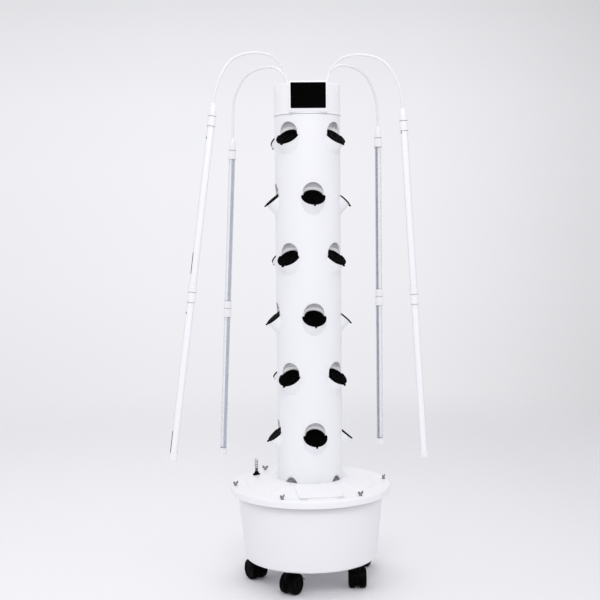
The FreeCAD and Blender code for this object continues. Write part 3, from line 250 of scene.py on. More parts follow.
def lathe(profile, turns=96, centre=(0, 0), ring=False):
    """A sheet turned round Z: each profile point (radius, height) gives a level circle of points. A profile
    that starts and ends on the axis closes there; a ring joins its last circle to its first."""
    a = np.linspace(0, 2 * np.pi, turns, endpoint=False)
    radius, height = np.asarray(profile, float).T[:, :, None]
    points = np.stack([centre[0] + radius * np.cos(a), centre[1] + radius * np.sin(a), height + 0 * a], -1)
    return points, ring, True


def hoop(corners, turns, centre=(0, 0), steps=5):
    """A closed outline with rounded corners, turned round Z."""
    return lathe(rounded(corners, True, steps), turns, centre, True)


def crisp(mesh, degrees):
    """Shade a mesh smooth, apart from the edges that bend by more than this."""
    mesh.shade_smooth()
    mesh.set_sharp_from_angle(angle=np.radians(degrees))


def skin(name, finish, *sheets, sharp=35, keep=None):
    """A piece from sheets: each is an array of points in rows and columns, with two flags that say whether
    its last row joins its first and its last column its first. Points that fall together are merged, so a
    row drawn to one point closes as a pole, and faces are turned outwards. keep picks one sheet's faces."""
    points, faces, start = [], [], 0
    for grid, rows_join, columns_join in sheets:
        rows, columns = grid.shape[:2]
        i = np.arange(rows if rows_join else rows - 1)[:, None]
        j = np.arange(columns if columns_join else columns - 1)[None, :]
        after, beside = (i + 1) % rows, (j + 1) % columns
        quads = np.stack([i * columns + j, i * columns + beside,
                          after * columns + beside, after * columns + j], -1)
        if keep is not None:
            quads = quads[keep]
        faces.append(quads.reshape(-1, 4) + start)
        points.append(grid.reshape(-1, 3))
        start += rows * columns
    mesh = bpy.data.meshes.new(name)
    mesh.from_pydata((np.concatenate(points) * MM).tolist(), [], np.concatenate(faces).tolist())
    work = bmesh.new()
    work.from_mesh(mesh)
    bmesh.ops.remove_doubles(work, verts=work.verts, dist=0.002 * MM)
    bmesh.ops.delete(work, geom=[v for v in work.verts if not v.link_faces], context="VERTS")
    bmesh.ops.recalc_face_normals(work, faces=work.faces)
    work.to_mesh(mesh)
    work.free()
    crisp(mesh, sharp)
    if finish:
        mesh.materials.append(finish.material)
    return put(name, mesh)


def spot_at(radius, degrees):
    """The place at a radius and an angle seen from above: 0 is the front and positive is to the right."""
    a = np.radians(degrees)
    return radius * np.sin(a), -radius * np.cos(a)


# The band under the lid's skirt is painted darker, for the deep shade that the photo shows there.
tub_plastic = Finish("tub_plastic")
height = tub_plastic.add("ShaderNodeSeparateXYZ", {0: tub_plastic.spot}).outputs["Z"]
band = tub_plastic.combine(tub_plastic.between(height, 0, 1, *SHADE_BAND),
                           tub_plastic.between(tub_plastic.cloud(5, 1), -0.04, 0.04))
tub_plastic.give(Base_Color=tub_plastic.shades(band, (0.05, (0.905, 0.895, 0.918)),
                                               (0.45, (0.80, 0.79, 0.81)), (0.95, (0.52, 0.51, 0.53))),
                 Roughness=tub_plastic.between(tub_plastic.cloud(9, 1), 0.385, 0.42, 0.3, 0.7),
                 Normal=tub_plastic.bump(tub_plastic.cloud(700, 2), 0.00005), Specular_IOR_Level=0.4)
tub = skin("tub_bucket", tub_plastic, lathe(rounded([
    (0, TUB_FLOOR), (TUB_LOW, TUB_FLOOR, 9), (TUB_HIGH, RIM_TOP - 4, 2.5), (RIM_RADIUS, RIM_TOP - 4, 1.2),
    (RIM_RADIUS, RIM_TOP, 1.2), (TUB_HIGH - TUB_WALL, RIM_TOP, 1.5),
    (TUB_LOW - TUB_WALL, TUB_FLOOR + TUB_WALL, 11), (0, TUB_FLOOR + TUB_WALL)]), 192),
    *[hoop([(5.1, 77), (12, 77), (12, 94, 1.5), (5.1, 94, 0.6)], 32,
           spot_at(CASTER_RING, CASTER_START + 72 * k)) for k in range(5)])
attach(tub, "base")
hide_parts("tub")


# Lid: a white moulding that caps the tub. A skirt hangs over the flange, a shallow cone
# climbs to the collar round the column, and raised pads stand on the cone.

LID_RADIUS = 248.5
COLLAR_RADIUS = 108
COLLAR_TOP = 320
SLOPE_RADIUS = 205
FACE = 301.5
SKIRT_LOW = 279
LID_UNDER = 292.6
PAD_RISE = 2.7
PADS = ((0, 52), (180, 52), (90, 18))  # centre and half the sweep, in degrees
PAD_REACH = (113, 198)
PAD_CORNER = 16
GAUGE_AT = spot_at(190, -125)
GAUGE_SEAT = 307
GAUGE_BORE = 7.2


def moulded(name, colour, shade, gloss, grain=900, depth=0.00003, flow=3.0, shine=0.4):
    """Moulded plastic. Broad soft clouds drift between two near colours, as resin does where it cools, and
    a fine grain lifts the surface and scatters the gloss a little."""
    made = Finish(name)
    made.give(Base_Color=made.shades(made.cloud(flow, 1), (0.35, colour), (0.65, shade)),
              Roughness=made.between(made.cloud(9, 1), gloss - 0.015, gloss + 0.02, 0.3, 0.7),
              Normal=made.bump(made.cloud(grain, 2), depth), Specular_IOR_Level=shine)
    return made


def smooth(x):
    """Rises from 0 to 1 with level ends."""
    x = np.clip(x, 0, 1)
    return x * x * (3 - 2 * x)


def lid_height(radius):
    """Height of the lid's face at a radius: collar, cone, and the flat rim."""
    return np.interp(radius, (COLLAR_RADIUS, SLOPE_RADIUS), (COLLAR_TOP, FACE))


def pad_rise(radius, angle):
    """How far the pads stand above the cone. Each is a rounded rectangle in radius and arc length; the
    rise runs up over three millimetres inside its outline."""
    middle, half = sum(PAD_REACH) / 2, (PAD_REACH[1] - PAD_REACH[0]) / 2
    rise = 0
    for centre, sweep in PADS:
        away = np.abs((np.degrees(angle) - centre + 180) % 360 - 180)
        u = np.abs(radius - middle) - half + PAD_CORNER
        v = (np.radians(away) - np.radians(sweep)) * middle + PAD_CORNER
        inside = PAD_CORNER - np.hypot(np.maximum(u, 0), np.maximum(v, 0)) - np.minimum(np.maximum(u, v), 0)
        rise = np.maximum(rise, PAD_RISE * smooth(inside / 3))
    return rise


cone = np.unique(np.concatenate([np.linspace(109, 204, 24), np.arange(112, 134, 1.4),
                                 np.arange(178, 200, 1.4)]))
face_path = np.concatenate([
    rounded([(COLLAR_RADIUS - 4, COLLAR_TOP), (COLLAR_RADIUS, COLLAR_TOP, 1.6),
             (110, lid_height(110))])[1:-1],
    np.stack([cone, lid_height(cone)], -1),
    rounded([(204, lid_height(204)), (SLOPE_RADIUS + 3, FACE, 12), (LID_RADIUS, FACE, 6.5),
             (LID_RADIUS, SKIRT_LOW, 1.4), (245.5, SKIRT_LOW, 1.2), (245.5, LID_UNDER, 3),
             (200, LID_UNDER)], steps=7)[1:-1],
    rounded([(200, LID_UNDER), (107, 317, 2), (103.3, 317, 1.5), (103.3, 282, 0.8), (93, 282, 1),
             (93, 285, 1), (100.3, 285), (100.3, COLLAR_TOP, 1.2), (COLLAR_RADIUS - 4, COLLAR_TOP)])])
lid_angles = np.unique(np.round(np.concatenate(
    [np.arange(0, 360, 1.5)] + [(centre + side * sweep + np.arange(-9, 2, 0.4)[::-1] * side) % 360
                                for centre, sweep in PADS for side in (-1, 1)]), 4))
a = np.radians(lid_angles)
radius, height = face_path.T[:, :, None]
on_cone = (radius >= 108.5) & (radius <= 204.5) & (height > lid_height(radius) - 0.5)
height = height + on_cone * pad_rise(radius, a)
lid_plastic = moulded("lid_plastic", (0.91, 0.91, 0.93), (0.92, 0.92, 0.935), 0.34, 800, 0.00004)
lid = skin("lid_cover", lid_plastic,
           (np.stack([radius * np.cos(a), radius * np.sin(a), height], -1), True, True))

OPENING = (64, 41)
OPENING_AT = (0, -163)


def rectangle(half_x, half_y, corner, steps=5, middle=(0, 0)):
    """The outline of a rectangle with rounded corners, always with the same count of points."""
    corner = min(corner, half_x, half_y)
    a = np.linspace(0, np.pi / 2, steps + 1)
    quarter = np.stack([np.cos(a), np.sin(a)], -1) * corner
    inner = np.array([half_x - corner, half_y - corner])
    sides = []
    for k, (sx, sy) in enumerate(((1, 1), (-1, 1), (-1, -1), (1, -1))):
        c, s = (1, 0, -1, 0)[k], (0, 1, 0, -1)[k]
        sides.append(np.stack([quarter[:, 0] * c - quarter[:, 1] * s,
                               quarter[:, 0] * s + quarter[:, 1] * c], -1) + inner * (sx, sy))
    return np.concatenate(sides) + middle


def capped(rows):
    """A sheet of closed rows, with one row more at each end, drawn to the middle of the row beside it."""
    ends = [np.broadcast_to(row.mean(0), row.shape) for row in (rows[0], rows[-1])]
    return np.stack([ends[0], *rows, ends[1]]), False, True


def stacked(outlines, heights):
    """A sheet of outlines one above the other."""
    return capped([np.column_stack([outline, np.full(len(outline), z)])
                   for outline, z in zip(outlines, heights)])


def cut_away(piece, finish, sheets):
    """Cut the shapes that the sheets enclose out of a piece; the result becomes its mesh."""
    cutter = skin("cutter", None, *sheets)
    cutting = piece.modifiers.new("cut", "BOOLEAN")
    cutting.object = cutter
    cutting.operation = "DIFFERENCE"
    cutting.solver = "EXACT"
    bpy.context.view_layer.update()
    left_over = piece.evaluated_get(bpy.context.evaluated_depsgraph_get())
    piece.data = bpy.data.meshes.new_from_object(left_over)
    piece.modifiers.clear()
    piece.data.materials.clear()
    piece.data.materials.append(finish.material)
    bpy.data.objects.remove(cutter)


bore = lathe([(0, 284), (GAUGE_BORE, 284), (GAUGE_BORE, 320), (0, 320)], 32, GAUGE_AT)
cut_away(lid, lid_plastic, [stacked([rectangle(*OPENING, 14, 6, OPENING_AT)] * 2, (250, 340)), bore])
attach(lid, "base")
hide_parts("lid")

gauge_boss = skin("gauge_boss", lid_plastic, hoop([
    (7, 290), (15.5, 290), (13.5, 300, 4), (13.5, GAUGE_SEAT, 1.2), (7, GAUGE_SEAT, 0.6)], 64, GAUGE_AT))
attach(gauge_boss, "base")


# Front hatch: a drop-in door of the same white plastic, which follows the cone. A plug
# under it sits in the lid's opening, and a finger notch beside the column lifts it.

HATCH_HALF = 68
HATCH_OUT = 208
HATCH_IN = 110


def hatch_outline():
    """The hatch seen from above: round corners, and a notch at the back."""
    box = rectangle(HATCH_HALF, (HATCH_OUT - HATCH_IN) / 2, 18, 8, (0, -(HATCH_OUT + HATCH_IN) / 2))
    dense = []
    for here, after in zip(box, np.roll(box, -1, 0)):
        count = max(int(np.hypot(*(after - here)) / 3), 1)
        dense.append(here + (after - here) * (np.arange(count) / count)[:, None])
    path = np.concatenate(dense)
    at_back = path[:, 1] > -HATCH_IN - 0.5
    path[:, 1] -= at_back * 6 * (1 - smooth((np.abs(path[:, 0]) - 10) / 5))
    return path


def over_cone(outline, steps):
    """A sheet that follows the lid's face: for each step (share, above) the outline is drawn in to its share
    and lies that far above the face."""
    middle = outline.mean(0)
    rows = []
    for share, above in steps:
        spots = middle + (outline - middle) * share
        rows.append(np.column_stack([spots, lid_height(np.hypot(*spots.T)) + above]))
    return np.stack(rows), False, True


hatch_steps = [(share, 0.3) for share in (0.0, 0.3, 0.6, 0.85, 1.0)] + [(1.0, 2.6)]
hatch_steps += [(1 - 0.026 * (1 - np.cos(t)), 2.6 + 1.7 * np.sin(t))
                for t in np.linspace(0.25, np.pi / 2, 5)]
hatch_steps += [(share, 4.3) for share in (0.955, 0.93, 0.8, 0.6, 0.4, 0.2, 0.0)]
plug_line = rectangle(OPENING[0] - 0.4, OPENING[1] - 0.4, 13, 8, OPENING_AT)
plug_steps = ((0.0, -3), (0.94, -3), (1.0, -2), (1.0, 0.35), (0.0, 0.35))
hatch = skin("hatch_door", lid_plastic,
             over_cone(hatch_outline(), hatch_steps), over_cone(plug_line, plug_steps))
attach(hatch, "hatch")
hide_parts("front_hatch")


# Wing screws: six cast butterfly screws hold the lid down on the flange. Two leaves rise
# from the hub like a V, in dull grey zinc.

SCREW_RING = 233
SCREW_TURNS = (25, 50, 119, 166, 213, 220)


def blob(middle, reach, turn):
    """A rounded leaf: an ellipsoid with flattened poles, turned by a matrix about its middle."""
    v = np.linspace(-np.pi / 2, np.pi / 2, 16)[:, None]
    u = np.linspace(0, 2 * np.pi, 24, endpoint=False)
    unit = np.stack([np.cos(v) * np.cos(u), np.cos(v) * np.sin(u), np.sin(v) + 0 * u], -1)
    points = np.sign(unit) * np.abs(unit) ** 0.85 * reach
    return points @ np.array(turn).T + middle, False, True


def placed(sheets, matrix):
    """The sheets moved by a matrix in millimetres."""
    m = np.array(matrix)
    return [(points @ m[:3, :3].T + m[:3, 3], *joins) for points, *joins in sheets]


def turned(degrees, axis="Z"):
    """A turn about an axis through the origin."""
    return Matrix.Rotation(np.radians(degrees), 4, axis)


def shifted(x=0, y=0, z=0):
    """A move in millimetres."""
    return Matrix.Translation((x, y, z))


screw_shape = [
    lathe(rounded([(0, 286.5), (2.4, 286.5), (2.4, FACE)]), 16),
    lathe(rounded([(0, FACE - 0.5), (5.4, FACE - 0.5), (5.4, FACE + 0.9, 0.4), (4.2, FACE + 1.2, 0.3),
                   (3.7, FACE + 8, 1.6), (0, FACE + 8.6)]), 28)]
for side in (-1, 1):
    lean = Matrix.Rotation(np.radians(34 * side), 3, "Y")
    screw_shape.append(blob((side * 5.6, 0, FACE + 9), (3.9, 1.35, 5.2), lean))
zinc = Finish("cast_zinc")
zinc.give(Base_Color=zinc.shades(zinc.cloud(260), (0.35, (0.24, 0.24, 0.25)), (0.7, (0.36, 0.36, 0.37))),
          Metallic=0.85, Roughness=zinc.between(zinc.cloud(700), 0.34, 0.55),
          Normal=zinc.bump(zinc.cloud(1500), 0.00006))
for k, turn in enumerate(SCREW_TURNS):
    stand = shifted(*spot_at(SCREW_RING, 30 + 60 * k)) @ turned(turn)
    screw = skin("wing_screw_%d" % (k + 1), zinc, *placed(screw_shape, stand), sharp=50)
    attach(screw, "base")
    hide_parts("wing_screws")


# Level gauge: a black rubber grommet in the boss, a clear tube with a domed end and black
# rings, and the float's rod inside it, which shows how far the water has dropped.

GAUGE_TOP = 362
rubber = moulded("black_rubber", (0.0015, 0.0015, 0.0016), (0.003, 0.003, 0.003), 0.6, 1400, 0.00005,
                 20, 0.03)
grommet = skin("gauge_grommet", rubber, hoop([
    (5.05, 298), (7, 298, 0.6), (7, GAUGE_SEAT), (12, GAUGE_SEAT, 0.4), (12, 311, 0.8), (7.4, 311.8, 1),
    (6.6, 314.6, 1), (7, 315.4, 0.5), (6, 319, 0.8), (5.05, 319, 0.3)], 48, GAUGE_AT))
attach(grommet, "base")
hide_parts("level_grommet")

# The tube's colour turns grey towards the edges seen side-on: a painted shade along its sides.
clear_tube = Finish("clear_tube")
edge = clear_tube.add("ShaderNodeLayerWeight", {"Blend": 0.5}).outputs["Facing"]
clear_tube.give(Base_Color=clear_tube.shades(edge, (0.2, (0.90, 0.91, 0.93)), (0.6, (0.55, 0.56, 0.58))),
                Roughness=clear_tube.between(clear_tube.cloud(90), 0.06, 0.12),
                Alpha=clear_tube.between(edge, 0.08, 0.6, 0.15, 0.7),
                Normal=clear_tube.bump(clear_tube.cloud(160), 0.00003))
tube = skin("gauge_tube", clear_tube, hoop([
    (3.8, 258), (5, 258, 0.4), (5, GAUGE_TOP, 3.4), (0, GAUGE_TOP), (0, GAUGE_TOP - 2),
    (3.8, GAUGE_TOP - 2, 2.2)], 48, GAUGE_AT, 8))
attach(tube, "base")
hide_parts("level_tube")

ticks = skin("gauge_ticks", rubber, *[
    hoop([(4.8, z), (5.2, z, 0.1), (5.2, z + 1.2, 0.1), (4.8, z + 1.2)], 32, GAUGE_AT)
    for z in np.arange(322, 356, 6)])
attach(ticks, "base")
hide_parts("level_tube")

ROD_TOP = 328
foam = moulded("float_foam", (0.002, 0.002, 0.002), (0.004, 0.004, 0.004), 0.6, 1100, 0.0001, 30, 0.03)
floater = skin("float_and_rod", foam, lathe(rounded([
    (0, 198), (14, 198, 4), (14, 224, 4), (1.5, 224, 1), (1.5, 264), (3.7, 266), (3.7, 272), (1.5, 274),
    (1.5, 318), (3.7, 320), (3.7, ROD_TOP, 0.8), (0, ROD_TOP)]), 40, GAUGE_AT),
    *[hoop([(1.4, z), (3.1, z, 0.3), (3.1, z + 2, 0.3), (1.4, z + 2)], 24, GAUGE_AT)
      for z in np.arange(277, 318, 6.5)])
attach(floater, "float")
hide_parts("level_float")


# Casters: five twin-wheel casters of black plastic. A steel pin is pressed into the tub, a
# hood with a web between the wheels swivels on it, and both wheels turn on one axle.

HEADINGS = (49.5, 81, 60, 100, -65)
TRAIL = 20
WHEEL_R = 30
WHEEL_IN = 7
WHEEL_OUT = 27


def block(low, high, corner=1.0, steps=3):
    """A box with rounded corners and edges: outlines drawn in along a quarter circle at top and bottom."""
    low, high = np.array(low, float), np.array(high, float)
    half, middle = (high - low) / 2, (high + low) / 2
    a = np.linspace(0, np.pi / 2, steps + 1)
    inset = corner * (1 - np.sin(a))
    rise = corner * (1 - np.cos(a))
    outlines = [rectangle(half[0] - d, half[1] - d, max(corner - d, 0.01), steps, middle[:2])
                for d in inset]
    return stacked(outlines + outlines[::-1], [*(low[2] + rise), *(high[2] - rise[::-1])])


def carried(section, along, place):
    """A closed section carried along steps and closed at both ends. place(points, step) gives each row."""
    middle = section.mean(0)
    small = middle + (section - middle) * 0.92
    rows = [place(section, step) for step in along]
    return capped([place(small, along[0]), *rows, place(small, along[-1])])


def round_axle(points, angle):
    """Points (sideways, radius) laid at an angle round the axle."""
    return np.stack([TRAIL + points[:, 1] * np.cos(angle), points[:, 0],
                     WHEEL_R + points[:, 1] * np.sin(angle)], -1)


ON_AXLE = shifted(TRAIL, 0, WHEEL_R) @ turned(90, "X")
fender = rounded([(-23, 31), (23, 31, 0.6), (23, 33, 1.6), (-23, 33, 1.6)], True)
hood_shape = [
    carried(fender, np.radians(np.linspace(17, 163, 40)), round_axle),
    block((-10.5, -6.3, 44), (20, 6.3, 60), 3),
    block((49.2, -28.5, 38.5), (51.8, 28.5, 41.5), 0.9),
    hoop([(4.1, 50), (10, 50, 1), (10, 71.6, 1.2), (4.1, 71.6, 0.5)], 40),
    *placed([lathe(rounded([(0, -6.3), (27, -6.3, 1), (27, 6.3, 1), (0, 6.3)]), 72)], ON_AXLE)]
wheel_profile = rounded([
    (0, WHEEL_IN), (WHEEL_R - 1.5, WHEEL_IN, 0.8), (WHEEL_R, WHEEL_IN + 2, 1.5), (WHEEL_R, WHEEL_OUT - 4, 5),
    (WHEEL_R - 4.5, WHEEL_OUT, 3), (WHEEL_R - 8, WHEEL_OUT, 1), (WHEEL_R - 10, WHEEL_OUT - 1.8, 1),
    (9, WHEEL_OUT - 1.8, 1), (7.5, WHEEL_OUT - 0.3, 1), (0, WHEEL_OUT)])
wheel_shape = placed([*[lathe(wheel_profile * (1, side), 72) for side in (1, -1)],
                      lathe([(0, -8), (4, -8), (4, 8), (0, 8)], 24)], ON_AXLE)
caster_black = moulded("caster_plastic", (0.0010, 0.0010, 0.0012), (0.002, 0.002, 0.002), 0.42, 1200,
                       0.00008, 18, 0.03)
tyre_black = moulded("caster_tyre", (0.0012, 0.0012, 0.0012), (0.0025, 0.0025, 0.0024), 0.5, 900, 0.0001,
                     25, 0.03)
for k, heading in enumerate(HEADINGS):
    stand = shifted(*spot_at(CASTER_RING, CASTER_START + 72 * k)) @ turned(heading)
    name = "caster_%d" % (k + 1)
    hood = skin(name + "_cover", caster_black, *placed(hood_shape, stand))
    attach(hood, name)
    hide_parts(name + "_hood")
    wheels = skin(name + "_twin_wheels", tyre_black, *placed(wheel_shape, stand))
    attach(wheels, name + "_wheel_pair")
    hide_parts(name + "_wheels")


def bevelled(node, width, finish):
    """Keep a CAD node: merge its loose triangles, round its edges a little, and give it its finish."""
    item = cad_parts[node]
    item.modifiers.new("merge", "WELD").merge_threshold = 0.00001
    round_off = item.modifiers.new("round", "BEVEL")
    round_off.width = width * MM
    round_off.segments = 2
    round_off.limit_method = "ANGLE"
    round_off.angle_limit = np.radians(40)
    item.data.materials.clear()
    item.data.materials.append(finish.material)


steel = Finish("steel_pin")
steel.give(Base_Color=steel.shades(steel.cloud(300), (0.3, (0.42, 0.42, 0.43)), (0.7, (0.55, 0.55, 0.56))),
           Metallic=1.0, Roughness=steel.between(steel.cloud(500), 0.25, 0.4))
bevelled("caster_stems", 0.4, steel)


# Column: one white pipe moulding in six rows. Each mouth has a bulge under it and an
# arch over it, and a short collar inside that guides the cup.

column_plastic = moulded("column_plastic", (0.90, 0.90, 0.93), (0.905, 0.905, 0.935), 0.30, 650, 0.00002,
                         2.2)


def merged_copy(node, name):
    """A copy of a CAD node's mesh with its loose triangles merged and its crisp edges marked."""
    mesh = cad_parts[node].data.copy()
    mesh.name = name
    work = bmesh.new()
    work.from_mesh(mesh)
    bmesh.ops.remove_doubles(work, verts=work.verts, dist=0.01 * MM)
    bmesh.ops.dissolve_degenerate(work, edges=work.edges, dist=0.005 * MM)
    work.to_mesh(mesh)
    work.free()
    mesh.free_tangents()
    for layer in ("custom_normal", "sharp_face", "sharp_edge"):
        if layer in mesh.attributes:
            mesh.attributes.remove(mesh.attributes[layer])
    crisp(mesh, 30)
    return put(name, mesh)


ROW_TOP = 1362.7
ROW_PITCH = 180.65
FOOT_ROW = 293.5
POT_OUT = 99.5
POT_TILT = 40
ARCH_HALF = 31.4
ARCH_SPRING = 13.5
WALL_IN = 96.4
COLLAR_R = 31.2
COLLAR_RISE = 10.5
MOUTH_POINTS = 41
MOUTHS = [turned(45 * ((k + 1) % 2) + 90 * n) @ shifted(z=ROW_TOP - k * ROW_PITCH)
          for k in range(6) for n in range(4)]
FOOT_ARCHES = [turned(45 + 90 * n) @ shifted(z=FOOT_ROW) for n in range(4)]
POT_FRAME = shifted(y=-POT_OUT) @ turned(POT_TILT, "X")


def arch_line():
    """The mouth's outline seen from the front, from right to left: straight sides, then a half circle.
    Points are evenly spaced along it."""
    side = ARCH_SPRING - 6.3
    along = np.linspace(0, 2 * side + np.pi * ARCH_HALF, MOUTH_POINTS)
    a = np.clip((along - side) / ARCH_HALF, 0, np.pi)
    drop = np.maximum(side - along, 0) + np.maximum(along - side - np.pi * ARCH_HALF, 0)
    return np.stack([ARCH_HALF * np.cos(a), ARCH_SPRING + ARCH_HALF * np.sin(a) - drop], -1)


def upright_row(outline, out):
    """An outline (sideways, height) that stands at a distance out to the front."""
    return np.column_stack([outline[:, 0], np.full(len(outline), -float(out)), outline[:, 1]])


arch = arch_line()[3:-3]
tunnel = []
for out in (84, 112):
    floor_line = (POT_OUT - out) * np.tan(np.radians(POT_TILT)) + 0.06
    ring = np.concatenate([arch, [(-ARCH_HALF, floor_line), (ARCH_HALF, floor_line)]])
    tunnel.append(upright_row(ring, out))
ring_sheet = placed([lathe([(0, 0.06), (31.3, 0.06), (31.3, 14), (0, 14)], 64)], POT_FRAME)
column = merged_copy("column", "column_pipe")
for shape in ([capped(tunnel)], ring_sheet):
    cut_away(column, column_plastic, [sheet for place in MOUTHS for sheet in placed(shape, place)])
crisp(column.data, 30)
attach(column, "base")
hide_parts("column")

# Behind each cup a collar rises out of the pipe, and a roof closes the mouth above it. Both follow
# the cup's axis: a point at an angle round it leans out as it climbs, up to the pipe's inner face.
collar_a = np.radians(np.linspace(18.5, 161.5, MOUTH_POINTS))
tilt_s, tilt_c = np.sin(np.radians(POT_TILT)), np.cos(np.radians(POT_TILT))


def on_collar(radius, rise):
    """Points round the cup's axis at a radius, at a height above the mouth's plane for each angle."""
    side, up = radius * np.cos(collar_a), radius * np.sin(collar_a)
    return np.stack([side, -(POT_OUT - up * tilt_c + rise * tilt_s), up * tilt_s + rise * tilt_c], -1)


wall_rise = (np.sqrt(WALL_IN ** 2 - (COLLAR_R * np.cos(collar_a)) ** 2) - POT_OUT
             + COLLAR_R * np.sin(collar_a) * tilt_c) / tilt_s
collar_rise = np.clip(wall_rise, 0.3, COLLAR_RISE)
collar_lean = 0.36 * collar_rise * np.sin(collar_a)
collar_rows = [on_collar(COLLAR_R, -2.0 + 0 * collar_a)]
collar_rows += [on_collar(COLLAR_R + collar_lean * share, collar_rise * share)
                for share in (0.0, 0.35, 0.7, 0.95)]
collar_rows += [on_collar(COLLAR_R + collar_lean + out, collar_rise * share - drop)
                for out, share, drop in ((0.5, 1, 0), (1.6, 1, 0), (2.0, 0.9, 0.5))]
outer = arch_line() * (1.006, 1.0)
outer_edge = np.stack([outer[:, 0], -np.sqrt(WALL_IN ** 2 - outer[:, 0] ** 2), outer[:, 1] + 0.2], -1)
inner_edge = on_collar(COLLAR_R + collar_lean + 1.4, collar_rise * 0.9)
elbow = np.stack([(outer_edge[:, 0] + inner_edge[:, 0]) / 2, inner_edge[:, 1] + 9,
                  outer_edge[:, 2] + 1], -1)
roof_rows = [(1 - s) ** 2 * outer_edge + 2 * s * (1 - s) * elbow + s * s * inner_edge
             for s in np.linspace(0, 1, 12)]
# The roofs are painted a darker grey than the column's plastic: painted shade for the dim inside of each
# mouth. The collars, and the collars and roofs in the foot's arches, are painted lighter than the column's
# plastic: painted light.
painted_shade_inside = moulded("column_inside_painted_shade", (0.68, 0.68, 0.70), (0.71, 0.71, 0.73), 0.5, 650, 0.00002, 9)
collar_painted_light = moulded("collar_painted_light", (0.95, 0.95, 0.97), (0.96, 0.96, 0.975), 0.35, 650, 0.00002, 9)
collars = [(np.stack(collar_rows), False, False)]
roofs = [(np.stack(roof_rows), False, False)]
pieces = (("mouth_collars", collars, MOUTHS, collar_painted_light),
          ("mouth_roofs", roofs, MOUTHS, painted_shade_inside),
          ("foot_linings", collars + roofs, FOOT_ARCHES, collar_painted_light))
for name, sheets, places, finish in pieces:
    lining = skin(name, finish, *[sheet for place in places for sheet in placed(sheets, place)])
    wall = lining.modifiers.new("wall", "SOLIDIFY")
    wall.thickness = 0.4 * MM
    wall.offset = 0
    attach(lining, "base")
    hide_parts("column")


# Pots: 24 black net cups. Each has a lid plate that rests on the mouth, wider below so that
# it hooks over the rim, with a pull tab at its lowest point and a slotted basket under it.

PLATE = 30.3
BRIM = 36.5
TAB = 42.5


def plate_reach(angle):
    """The plate's radius by angle: small above a level line, wide below it, and out to the tab's end where
    the tab's sides allow. Where a straight side crosses, the radius is its distance over the sine or
    cosine."""
    up, side = np.sin(angle), np.abs(np.cos(angle))
    reach = np.where(up > 0.01, np.clip(4 / np.maximum(up, 0.01), PLATE, BRIM), BRIM)
    return np.where(up < -0.9, np.clip(2.6 / np.maximum(side, 1e-4), reach, TAB), reach)


ears = np.array([5.2, 6.0, 6.3, 6.7, 7.1, 7.59, 8.2, 9.4])
tab_edges = np.array([0.0, 1.6, 2.8, 3.5, 3.8, 4.1, 4.6, 5.5])
plate_angles = np.radians(np.unique(np.concatenate(
    [np.arange(0, 360, 5), ears, 180 - ears, 270 + tab_edges, 270 - tab_edges])))
outline = plate_reach(plate_angles)
plate_rows = [(0.0, 0.0), (0.9, 0.0)]
plate_rows += [(1 - 0.7 * (1 - np.cos(t)) / 36, 0.7 * (1 - np.sin(t)))
               for t in np.linspace(np.pi / 2, 0, 4)]
plate_rows += [(1 - 0.9 * (1 - np.cos(t)) / 36, 3.6 + 0.9 * np.sin(t))
               for t in np.linspace(0, np.pi / 2, 5)]
plate_rows += [(0.93, 4.5), (0.91, 4.0), (0.72, 4.0), (0.70, 4.3), (0.66, 4.3), (0.64, 3.9), (0.3, 3.8),
               (0.0, 3.7)]
share, rise = np.array(plate_rows).T[:, :, None]
reach = np.where(share < 0.935, np.minimum(outline, BRIM) * share, outline * share)
plate_sheet = (np.stack([reach * np.cos(plate_angles), reach * np.sin(plate_angles),
                         rise + 0 * reach], -1), False, True)
plate_shape = [plate_sheet, block((-1.3, -35.4, 1.2), (1.3, 0, 4.8), 0.5),
               lathe(rounded([(0, 1.2), (3.6, 1.2), (3.6, 4.9, 0.9), (0, 4.9)]), 28)]
pot_black = moulded("pot_plastic", (0.0005, 0.0005, 0.0006), (0.0010, 0.0010, 0.0010), 0.5, 1000, 0.00006,
                    30, 0.01)

CUP_TOP = 25.2
CUP_LOW = 19
CUP_DEEP = 62
CUP_CELLS = 64
levels = np.linspace(0, 1, 15)
cup_path = np.concatenate([np.stack([CUP_TOP + (CUP_LOW - CUP_TOP) * levels, -CUP_DEEP * levels], -1),
                           [(CUP_LOW - 3, -CUP_DEEP), (13, -CUP_DEEP), (10, -CUP_DEEP), (6, -CUP_DEEP)]])
cup_sheet = lathe(cup_path, CUP_CELLS)
cell_row = np.arange(len(cup_path) - 1)[:, None]
cell_column = np.arange(CUP_CELLS)[None, :]
wall_window = (cell_row > 2) & (cell_row < 13) & (cell_row % 5 != 2) & (cell_column % 4 > 0)
floor_window = (cell_row == 16) & (cell_column % 8 > 2)
cup_cells = ~(wall_window | floor_window)

for k in range(6):
    for n, letter in enumerate("abcd"):
        node = "pot_%d_%s" % (k + 1, letter)
        stand = MOUTHS[4 * k + n] @ POT_FRAME
        plate = skin(node + "_plate", pot_black, *placed(plate_shape, stand))
        basket = skin(node + "_basket", pot_black, *placed([cup_sheet], stand), keep=cup_cells)
        wall = basket.modifiers.new("wall", "SOLIDIFY")
        wall.thickness = 1.5 * MM
        wall.offset = -1
        for piece in (plate, basket):
            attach(piece, node + "_lift")
            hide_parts(node)


# Water parts inside: a submersible pump on the tub's floor, a riser pipe up the middle, and
# a perforated plate under the cap that sprays the water down over the roots, notched round
# the top mouths.

